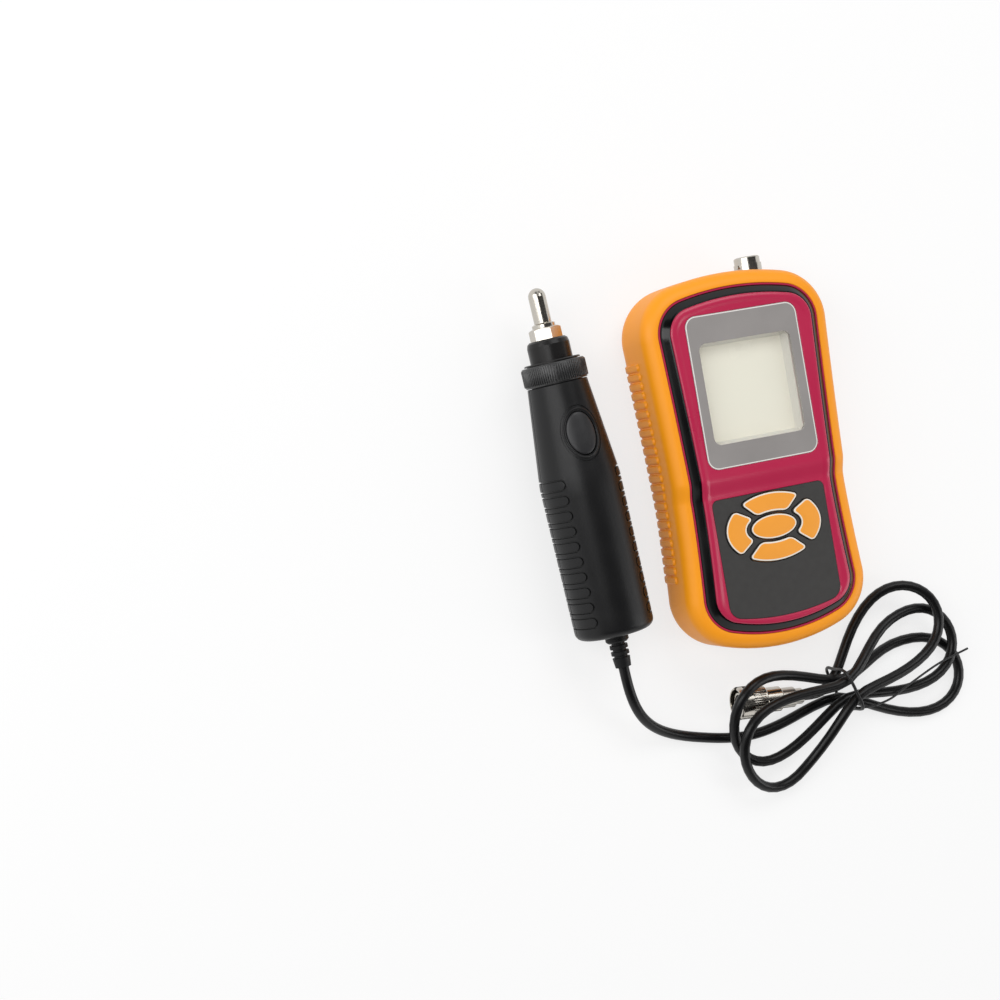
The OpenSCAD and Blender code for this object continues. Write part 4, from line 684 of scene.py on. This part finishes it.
# Clear acrylic: its gloss grows with the slant of the view, the same from both sides
lens_clear = bpy.data.materials.new("lens_clear")
clear_tree = bare_tree(lens_clear)
see_through = node(clear_tree, "ShaderNodeBsdfTransparent", Color=(0.97, 0.975, 0.97, 1))[0]
shine = node(clear_tree, "ShaderNodeBsdfGlossy", Roughness=0.04)[0]
slant = node(clear_tree, "ShaderNodeLayerWeight", Blend=0.5)["Facing"]
shine_share = maths(clear_tree, "MULTIPLY_ADD", maths(clear_tree, "POWER", slant, 5.0),
                    0.96, 0.04)
pane_look = node(clear_tree, "ShaderNodeMixShader", shine_share, see_through, shine)[0]
node(clear_tree, "ShaderNodeOutputMaterial", Surface=pane_look)
pane = build("lens_window", *prism(window_edge(-0.06), LENS_Z - 0.14, LENS_Z - 0.02),
             lens_clear)
for piece in (lens, pane):
    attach(piece, "meter")
    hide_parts("display_lens")

# Display. A liquid crystal panel in a pale moulded frame, joined to the board by two rubber
# contact strips. The panel carries a faint painted glow that lightens it where its deep recess
# shades it; the real panel gives no light of its own.
display_glass = finish("display_glass", (246, 242, 228), 0.25, grain=2, depth=0.002, tone=0.015,
                       patches=40)
# Painted light: a weak constant emission makes up for the shade in the panel's recess
feed(display_glass.node_tree, display_glass.node_tree.nodes["Principled BSDF"],
     Emission_Color=(1.0, 0.97, 0.88, 1), Emission_Strength=0.11)
dress(display_glass, "lcd_panel")
dress(finish("display_frame", (236, 233, 226), 0.4, tone=0.03), "lcd_frame")
dress(finish("zebra_strip", (96, 96, 100), 0.6, grain=0.4, depth=0.02, stretch=(6, 1, 1)),
      "contact_strips")

# Keypad sheet. A dark grey polyester film with a fine leather grain, stuck into its pocket,
# die-cut round five orange keys.
keypad_film = finish("keypad_film", (62, 61, 60), 0.5, grain=0.28, depth=0.03, patches=3,
                     specular=0.3)
keypad = plate("keypad_sheet", [sheet_line] + [
    lambda d, k=k: key_line(k, MOVE_GAP + d, 180) for k in range(5)],
    [(0, SHEET_Z - 0.15), (0.15, SHEET_Z)], SHEET_LOW, keypad_film)
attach(keypad, "meter")
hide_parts("keypad_overlay")

# Keys. Five silicone caps, orange with a pale line printed along their edge. Each stands on
# a flange under the case, and its stem presses the dome switch on the board.
KEY_PROUD, KEY_FLANGE, STEM_R = 0.8, 0.45, 2.0
BOARD_TOP = 22.6
FLANGE_TOP = WEB_Z - FRONT_STEP - 0.3
FLANGE_LOW = FLANGE_TOP - 0.8
STEM_LOW = BOARD_TOP + 0.6 + 0.5 + 0.05
key_orange = finish("key_orange", (244, 160, 50), 0.42, grain=0.4, tone=0.04)
key_pale_line = finish("key_pale_line", (236, 226, 212), 0.45, grain=0.4, tone=0.03)
key_top = SHEET_Z + KEY_PROUD
stem_turn = np.arange(24) * math.pi / 12
for k, word in enumerate(("centre", "top", "right", "bottom", "left")):
    middle = np.array([KEY_PLACES[k][0] * KEY_A, KEY_Y + KEY_PLACES[k][1] * KEY_B])
    rings = [(key_line(k, grow), z) for grow, z in (
        (KEY_FLANGE, FLANGE_LOW), (KEY_FLANGE, FLANGE_TOP), (0, FLANGE_TOP),
        (0, key_top - 0.5), (-0.06, key_top - 0.36), (-0.2, key_top - 0.26),
        (-0.3, key_top - 0.24), (-0.8, key_top - 0.18))]
    last_ring = rings[-1][0]
    rings += [(middle + (last_ring - middle) * s, key_top - 0.18 * s * s)
              for s in (0.85, 0.6, 0.3)]
    points, faces = tower(rings)
    # The pale line lies along the edge of the top; the walls take the dark film's finish as
    # painted shade for the shadow in their window
    marks = np.zeros(len(faces), np.int32)
    count = len(last_ring)
    marks[5 * count:7 * count] = 1
    # Painted shade: the orange walls are coloured like the dark film
    marks[2 * count:5 * count] = 2
    stem_line = middle + STEM_R * np.stack([np.cos(stem_turn), np.sin(stem_turn)], 1)
    stem_points, stem_faces = prism(stem_line, STEM_LOW, FLANGE_LOW + 0.3)
    faces = faces + [tuple(i + len(points) for i in f) for f in stem_faces]
    marks = np.append(marks, np.zeros(len(stem_faces), np.int32))
    key = build("cap_" + word, np.vstack([points, stem_points]), faces, key_orange, crease=40,
                others=[key_pale_line, keypad_film], marks=marks)
    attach(key, "key_%s_body" % word)
    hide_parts("key_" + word)

# Board, cells and socket. A green circuit board with its switches lies under the display,
# four wrapped cells under the battery door, and a nickel-plated barrel with a black insert
# is nutted into the head for the probe's plug. All keep their CAD shapes.
nickel_bright = finish("nickel_bright", (196, 191, 182), 0.2, grain=1.2, depth=0.004,
                       metallic=1.0, tone=0.05, stretch=(1, 0.2, 1))
nickel_satin = finish("nickel_satin", (196, 192, 184), 0.3, grain=0.6, metallic=1.0, tone=0.06)
insulator_black = finish("insulator_black", (24, 24, 26), 0.35)
dress(finish("board_mask", (28, 98, 52), 0.35, grain=0.7, depth=0.02, tone=0.12, patches=6),
      "main_board", "probe_board")
dress(finish("board_epoxy", (34, 34, 36), 0.5, grain=0.4), "board_parts", "probe_switch")
dress(finish("steel_zinc", (186, 188, 192), 0.3, metallic=1.0, tone=0.08),
      "dome_switches", "case_screws", "probe_screws")
dress(finish("cell_wrap", (52, 106, 178), 0.28, grain=1, depth=0.004, tone=0.05), "battery_cells")
dress(nickel_satin, "battery_contacts", "socket_nut")
dress(nickel_bright, "sensor_socket")
dress(insulator_black, "socket_insert")

# Probe handle. Two black satin shells, moulded in ABS with a fine spark grain, close on a
# seam along both sides and are screwed from the back. Engraved loops round the sides give
# the fingers a hold.
PROBE_LEN, GRIP_R, TAIL_R, NOSE_R, GRIP_WALL = 148.8, 17.3, 17.0, 12.8, 2.2
MOUTH_U = PROBE_LEN - 40.8
THICK_U, NECK_U = MOUTH_U - 41.7, MOUTH_U - 8
SPIGOT_R, TAIL_ROUND, TAIL_WALL = 10.9, 3.5, 2.6
PRESS_U = MOUTH_U - 22
SEAM_DEEP = 0.14
GROOVE_FIRST, GROOVE_PITCH, GROOVE_HALF, GROOVE_COUNT = 8.3, 6.5, 2.15, 10
LOOP_REACH = 13.0
LOOP_LINE_HALF, LOOP_LINE_DEEP = 0.55, 0.75
BUTTON_LINE_A, BUTTON_LINE_B, BUTTON_LINE_HALF, BUTTON_LINE_DEEP = 8.35, 11.75, 0.3, 0.4
BUTTON_HOLE_A, BUTTON_HOLE_B = 6.6, 9.45
RELIEF_HOLE_R, SCREW_HOLE_R = 4.0, 2.5
SCREW_PLACES = ((0, 12), (10.5, THICK_U - 8.3), (-10.5, THICK_U - 8.3))
cone = math.atan((GRIP_R - NOSE_R) / (MOUTH_U - THICK_U))
probe_place = (Matrix.Translation(Vector(PROBE_TAIL / 1000))
               @ Matrix.Rotation(PROBE_TURN, 4, "Z"))


def grip_radius(u):
    if u < TAIL_ROUND:
        return TAIL_R - TAIL_ROUND + math.sqrt(max(0, TAIL_ROUND ** 2 - (TAIL_ROUND - u) ** 2))
    if u < THICK_U:
        return TAIL_R + (GRIP_R - TAIL_R) * (u - TAIL_ROUND) / (THICK_U - TAIL_ROUND)
    return GRIP_R + (NOSE_R - GRIP_R) * (u - THICK_U) / (MOUTH_U - THICK_U)


def turned(profile, sides, start=0.0, turn=2 * math.pi, seam=0.0):
    """Solid turned about the probe's line from (radius, place along it) points. One that
    isn't turned all the way round is lower by the seam along its two edges."""
    whole = turn == 2 * math.pi
    steps = sides if whole else sides + 1
    points = []
    for i in range(steps):
        a = start + turn * i / sides
        less = seam if i in (0, steps - 1) else 0
        for r, u in profile:
            r = r - (less if r > 0.01 else 0)
            points.append((r * math.cos(a), u, r * math.sin(a)))
    return points, skin(len(profile), steps, whole)


def loop_cutter(line, half_wide, deep, proud=1.0):
    """Thin band standing on a closed line of the surface, to engrave it. The line is made of
    (point, direction away from the surface)."""
    path, away = (np.array(part, float) for part in zip(*line))
    run = np.roll(path, -1, 0) - np.roll(path, 1, 0)
    run /= np.linalg.norm(run, axis=1)[:, None]
    aside = np.cross(away, run)
    aside /= np.linalg.norm(aside, axis=1)[:, None]
    corners = [path - half_wide * aside + proud * away, path + half_wide * aside + proud * away,
               path + 0.55 * half_wide * aside - deep * away,
               path - 0.55 * half_wide * aside - deep * away]
    return np.stack(corners, 1).reshape(-1, 3), skin(4, len(path), closed=True)


def on_press(x, v, lift=0.0):
    """Point over the button's middle: x across, v along the probe, lifted off the cone."""
    u = PRESS_U + v * math.cos(cone)
    r = grip_radius(u) + lift
    z = math.sqrt(max(0.0, r * r - x * x))
    return np.array([x, u, z]), np.array([x / r, math.sin(cone), z / r])


def press_oval(a, b, count=96, lift=0.0):
    """Oval round the button's middle, on the cone."""
    return [on_press(a * math.cos(t), b * math.sin(t), lift)
            for t in np.linspace(0, 2 * math.pi, count + 1)[:-1]]


def finger_loop(side_sign, middle_u):
    """Long loop across the side of the grip, from front to back."""
    radius = grip_radius(middle_u)
    reach = math.acos(LOOP_REACH / radius) * radius
    round_end, straight = np.linspace(0, math.pi, 15), np.linspace(0.95, -0.95, 24)
    flat = [(GROOVE_HALF * math.sin(t) + reach, GROOVE_HALF * math.cos(t)) for t in round_end]
    flat += [(s * reach, -GROOVE_HALF) for s in straight]
    flat += [(GROOVE_HALF * math.sin(t) - reach, GROOVE_HALF * math.cos(t))
             for t in np.linspace(math.pi, 2 * math.pi, 15)]
    flat += [(-s * reach, GROOVE_HALF) for s in straight]
    line = []
    for bend, along in flat:
        a = bend / radius
        away = np.array([side_sign * math.cos(a), 0, math.sin(a)])
        line.append((away * grip_radius(middle_u + along) + [0, middle_u + along, 0], away))
    return line


tail_places = [0.0, 0.12, 0.45, 1.0, 1.8, 2.7, 3.5] + list(np.linspace(3.5, THICK_U, 12)[1:])
nose_places = list(np.linspace(THICK_U, MOUTH_U - 0.25, 9)[1:])
grip_profile = [(0.0, 0.0)] + [(grip_radius(u), u) for u in tail_places + nose_places]
grip_profile += [(NOSE_R - 0.25, MOUTH_U), (SPIGOT_R, MOUTH_U), (SPIGOT_R, NECK_U),
                 (grip_radius(NECK_U) - GRIP_WALL, NECK_U), (GRIP_R - GRIP_WALL, THICK_U),
                 (TAIL_R - GRIP_WALL, TAIL_WALL), (0.0, TAIL_WALL)]
probe_satin = finish("probe_satin", (23, 23, 24), 0.36, grain=0.32, depth=0.03, tone=0.12,
                     patches=14, specular=0.28)
finger_loops = [finger_loop(side_sign, GROOVE_FIRST + i * GROOVE_PITCH)
                for side_sign in (1, -1) for i in range(GROOVE_COUNT)]
for word, start in (("front", 0.0), ("rear", math.pi)):
    shell = build("probe_half_" + word, *turned(grip_profile, 100, start, math.pi, SEAM_DEEP),
                  probe_satin, crease=30)
    knives = [loop_cutter(line, LOOP_LINE_HALF, LOOP_LINE_DEEP) for line in finger_loops]
    knives.append(rod(0, 0, -1, 3.2, RELIEF_HOLE_R))
    if word == "front":
        knives.append(loop_cutter(press_oval(BUTTON_LINE_A, BUTTON_LINE_B), BUTTON_LINE_HALF,
                                  BUTTON_LINE_DEEP))
        hole = press_oval(BUTTON_HOLE_A, BUTTON_HOLE_B)
        knives.append((np.array([p - 5 * away for p, away in hole]
                                + [p + 3 * away for p, away in hole]), skin(len(hole), 2)))
    else:
        for x, u in SCREW_PLACES:
            disc = np.array([(x + SCREW_HOLE_R * math.cos(t), u + SCREW_HOLE_R * math.sin(t))
                             for t in np.arange(32) * math.pi / 16])
            knives.append(prism(disc, -20, -9))
    cut(shell, *knives)
    shell.data.transform(probe_place)
    shell.data.set_sharp_from_angle(angle=math.radians(30))
    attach(shell, "meter")
    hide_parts("probe_%s_shell" % word)

# Probe button. A rubber-feel oval cap in a raised bead; pressing it starts a reading. The
# cap is crowned, with a soft edge, and follows the cone of the handle.
BUTTON_A, BUTTON_B, BEAD_A, BEAD_B, BEAD_R = 6.25, 9.1, 7.3, 10.35, 0.55
button_soft = finish("button_soft", (34, 34, 36), 0.42, grain=0.6, depth=0.02, tone=0.2,
                     patches=4, specular=0.5)
button_rings = [[p for p, _ in press_oval(BUTTON_A * s, BUTTON_B * s, 72, lift)]
                for s, lift in ((1.0, -2.2), (1.0, -0.35), (0.985, -0.12), (0.95, 0.0),
                                (0.85, 0.08), (0.6, 0.16), (0.3, 0.2))]
button = build("button_cap", np.vstack(button_rings), skin(72, len(button_rings)), button_soft,
               crease=45, place=probe_place)
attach(button, "button_body")
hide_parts("probe_button")
bead_route = [p for p, _ in press_oval(BEAD_A, BEAD_B, lift=-0.12)]
bead = build("button_bead", *sweep(bead_route, BEAD_R, 10, True), probe_satin, crease=60,
             place=probe_place)
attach(bead, "meter")

# Knurled ring. A black moulded nut that clamps the pickup; fine straight ridges run along
# it. The ridges are set round it by a node tree.
RING_BORE, RING_RIDGES, RING_RIDGE_R = SPIGOT_R + 0.05, 84, 13.33
RING_RIDGE_LONG, RING_RIDGE_WIDE, RING_RIDGE_HIGH = 7.4, 0.8, 0.42
RING_PROFILE = [(RING_BORE, 0.2), (12.9, 0.2), (13.15, 0.4), (13.2, 0.9), (13.5, 8.2),
                (13.3, 8.6), (13.0, 8.85), (RING_BORE, 8.9)]
ring_black = finish("ring_black", (30, 30, 31), 0.32, grain=0.4, depth=0.015, tone=0.15,
                    specular=0.7)


def ring_of(name, piece, count, radius, along, material):
    """Copies of a piece round the probe's line, by Geometry Nodes, as one plain mesh."""
    tree = bpy.data.node_groups.new(name + "_tree", "GeometryNodeTree")
    sizes = {"Piece": ("Object", piece), "Count": ("Int", count),
             "Radius": ("Float", radius / 1000), "Place along": ("Float", along / 1000),
             "Finish": ("Material", material)}
    for word, (kind, _) in sizes.items():
        tree.interface.new_socket(word, in_out="INPUT", socket_type="NodeSocket" + kind)
    tree.interface.new_socket("Geometry", in_out="OUTPUT", socket_type="NodeSocketGeometry")
    given = node(tree, "NodeGroupInput")
    index = node(tree, "GeometryNodeInputIndex")["Index"]
    angle = maths(tree, "MULTIPLY", maths(tree, "DIVIDE", index, given["Count"]), 2 * math.pi)
    across, up = [maths(tree, "MULTIPLY", maths(tree, wave, angle), given["Radius"])
                  for wave in ("COSINE", "SINE")]
    spot = node(tree, "ShaderNodeCombineXYZ", X=across, Y=given["Place along"], Z=up)[0]
    turn = node(tree, "ShaderNodeCombineXYZ", Y=maths(tree, "MULTIPLY", angle, -1))[0]
    spots = node(tree, "GeometryNodePoints", Count=given["Count"], Position=spot)[0]
    shape = node(tree, "GeometryNodeObjectInfo", Object=given["Piece"])["Geometry"]
    copies = node(tree, "GeometryNodeInstanceOnPoints", Points=spots, Instance=shape,
                  Rotation=turn)[0]
    real = node(tree, "GeometryNodeRealizeInstances", Geometry=copies)[0]
    coated = node(tree, "GeometryNodeSetMaterial", Geometry=real, Material=given["Finish"])[0]
    node(tree, "NodeGroupOutput", Geometry=coated)
    carrier = stand(name, bpy.data.meshes.new(name + "_seed"))
    maker = carrier.modifiers.new("copies", "NODES")
    maker.node_group = tree
    for socket in tree.interface.items_tree:
        if socket.in_out == "INPUT":
            maker[socket.identifier] = sizes[socket.name][1]
    mesh = settled(carrier)
    discard(carrier, piece)
    mesh.name = name
    return stand(name, mesh)


def ridge(length, wide, high, material):
    """One straight ridge, lying along the probe's line, its foot at radius zero."""
    section = [(-0.4, -wide / 2), (high * 0.55, -wide * 0.36), (high, -wide * 0.12),
               (high, wide * 0.12), (high * 0.55, wide * 0.36), (-0.4, wide / 2)]
    points = [(r if r < 0 else r * k, u, z)
              for u, k in ((0, 0.3), (0.4, 1), (length - 0.4, 1), (length, 0.3))
              for r, z in section]
    return build("ridge", points, skin(len(section), 4), material, crease=40)


ring_base = build("ring_core", *turned([(r, MOUTH_U + v) for r, v in RING_PROFILE], 120),
                  ring_black, crease=35, place=probe_place)
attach(ring_base, "ring_body")
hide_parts("knurled_ring")
one_ridge = ridge(RING_RIDGE_LONG, RING_RIDGE_WIDE, RING_RIDGE_HIGH, ring_black)
ridges = ring_of("ring_ridges", one_ridge, RING_RIDGES, RING_RIDGE_R, MOUTH_U + 0.9, ring_black)
ridges.data.transform(probe_place)
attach(ridges, "ring_body")

# Probe nose and pickup. A black collar carries a nickel-plated hex nut and a domed tip; in
# it a brass weight presses two ceramic crystals on a base. A ribbed rubber relief is moulded
# on the cord at the tail.
dress(finish("collar_anodised", (30, 29, 29), 0.3, grain=0.8, depth=0.008, metallic=0.2,
             tone=0.15, specular=0.3), "nose_collar")
dress(nickel_bright, "tip_nut", "probe_tip")
dress(nickel_satin, "sensor_base")
dress(finish("crystal_ceramic", (224, 214, 186), 0.6, grain=0.3, depth=0.02, tone=0.05),
      "sensor_crystals")
dress(finish("brass_weight", (186, 158, 98), 0.32, metallic=1.0, tone=0.08), "sensor_mass")
dress(finish("relief_rubber", (20, 20, 21), 0.5, grain=0.4, depth=0.02, specular=0.25),
      "strain_relief")

# Plug. A nickel-plated bayonet plug, crimped on the cord by its clamp. Its locking sleeve
# has a straight knurl, set round it by the same node tree as the ring's.
SLEEVE_RIDGES, SLEEVE_RIDGE_R, SLEEVE_KNURL_U = 46, 7.2, 20.3
SLEEVE_RIDGE_LONG, SLEEVE_RIDGE_WIDE, SLEEVE_RIDGE_HIGH = 6.2, 0.66, 0.18
dress(nickel_bright, "plug_body", "plug_sleeve")
dress(nickel_satin, "plug_clamp")
dress(insulator_black, "plug_insert")
one_ridge = ridge(SLEEVE_RIDGE_LONG, SLEEVE_RIDGE_WIDE, SLEEVE_RIDGE_HIGH, nickel_bright)
plug_knurl = ring_of("plug_ridges", one_ridge, SLEEVE_RIDGES, SLEEVE_RIDGE_R, SLEEVE_KNURL_U,
                     nickel_bright)
plug_knurl.data.transform(Matrix.Translation(Vector(PLUG_REAR / 1000))
                          @ Matrix.Rotation(PLUG_TURN, 4, "Z"))
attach(plug_knurl, "sleeve_body")

# Floor and light. A plain pale table, three broad soft lamps and an even white room, so that
# each colour renders about as it is written. A black ceiling shows only in gloss and metal.
FLOOR_HALF, FLOOR_Z, FLOOR_WHITE, FLOOR_CLEAR_SHARE = 4, -0.0002, 0.93, 0.72
CEILING_Z, CEILING_BLACK = 1.15, 0.01
ROOM_STRENGTH = 0.4
# Name, place, the point it shines at, its two sides in metres and its power in watts
LAMPS = (("lamp_left", (-0.75, 0.25, 0.75), (-0.03, -0.02, 0.02), 0.5, 1.0, 5.6),
         ("lamp_top", (0.25, 0.75, 0.95), (0.0, 0.0, 0.02), 0.9, 0.6, 5.0),
         ("lamp_right", (0.85, -0.35, 0.6), (0.0, 0.0, 0.02), 0.4, 0.8, 2.4))


def flat(name, x0, y0, x1, y1, z, material):
    mesh = bpy.data.meshes.new(name)
    mesh.from_pydata([(x0, y0, z), (x1, y0, z), (x1, y1, z), (x0, y1, z)], [], [(0, 1, 2, 3)])
    mesh.materials.append(material)
    return stand(name, mesh)


def clear_rays(tree):
    """1 for rays that should see plain white: from the camera, and seen in metal or glass."""
    rays = node(tree, "ShaderNodeLightPath")
    return maths(tree, "MAXIMUM", maths(tree, "MAXIMUM", rays["Is Camera Ray"],
                                        rays["Is Glossy Ray"]), rays["Is Transmission Ray"])


floor_white = bpy.data.materials.new("floor_white")
floor_tree = bare_tree(floor_white)
matt = node(floor_tree, "ShaderNodeBsdfDiffuse", Color=(FLOOR_WHITE,) * 3 + (1,))[0]
glow = node(floor_tree, "ShaderNodeEmission", Strength=1.0)[0]
glow_share = maths(floor_tree, "MULTIPLY", clear_rays(floor_tree), FLOOR_CLEAR_SHARE)
table_top = node(floor_tree, "ShaderNodeMixShader", glow_share, matt, glow)[0]
# Seen from beneath, the table is clear, so that the back of the meter can be looked at
beneath = node(floor_tree, "ShaderNodeNewGeometry")["Backfacing"]
nothing = node(floor_tree, "ShaderNodeBsdfTransparent")[0]
table = node(floor_tree, "ShaderNodeMixShader", beneath, table_top, nothing)[0]
node(floor_tree, "ShaderNodeOutputMaterial", Surface=table)
floor = flat("floor", -FLOOR_HALF, -FLOOR_HALF, FLOOR_HALF, FLOOR_HALF, FLOOR_Z, floor_white)
card_black = bpy.data.materials.new("card_black")
card_black.use_nodes = True
feed(card_black.node_tree, card_black.node_tree.nodes["Principled BSDF"],
     Base_Color=(CEILING_BLACK,) * 3 + (1,))
card = flat("dark_card", -2.2, -2.0, 2.2, 2.2, CEILING_Z, card_black)
card.visible_camera = card.visible_diffuse = False
card.visible_shadow = card.visible_transmission = False
room = bpy.data.worlds.new("room")
scene.world = room
room_tree = bare_tree(room)
room_dim, room_seen = [
    node(room_tree, "ShaderNodeBackground", Color=(1, 1, 1, 1), Strength=strength)[0]
    for strength in (ROOM_STRENGTH, 1.0)]
room_look = node(room_tree, "ShaderNodeMixShader", clear_rays(room_tree), room_dim, room_seen)[0]
node(room_tree, "ShaderNodeOutputWorld", Surface=room_look)
for word, place, aim, wide, long, power in LAMPS:
    lamp = stand(word, bpy.data.lights.new(word, "AREA"))
    lamp.data.shape = "RECTANGLE"
    lamp.data.size, lamp.data.size_y, lamp.data.energy = wide, long, power
    lamp.matrix_world = Matrix.Translation(place) @ (
        Vector(aim) - Vector(place)).to_track_quat("-Z", "Y").to_matrix().to_4x4()
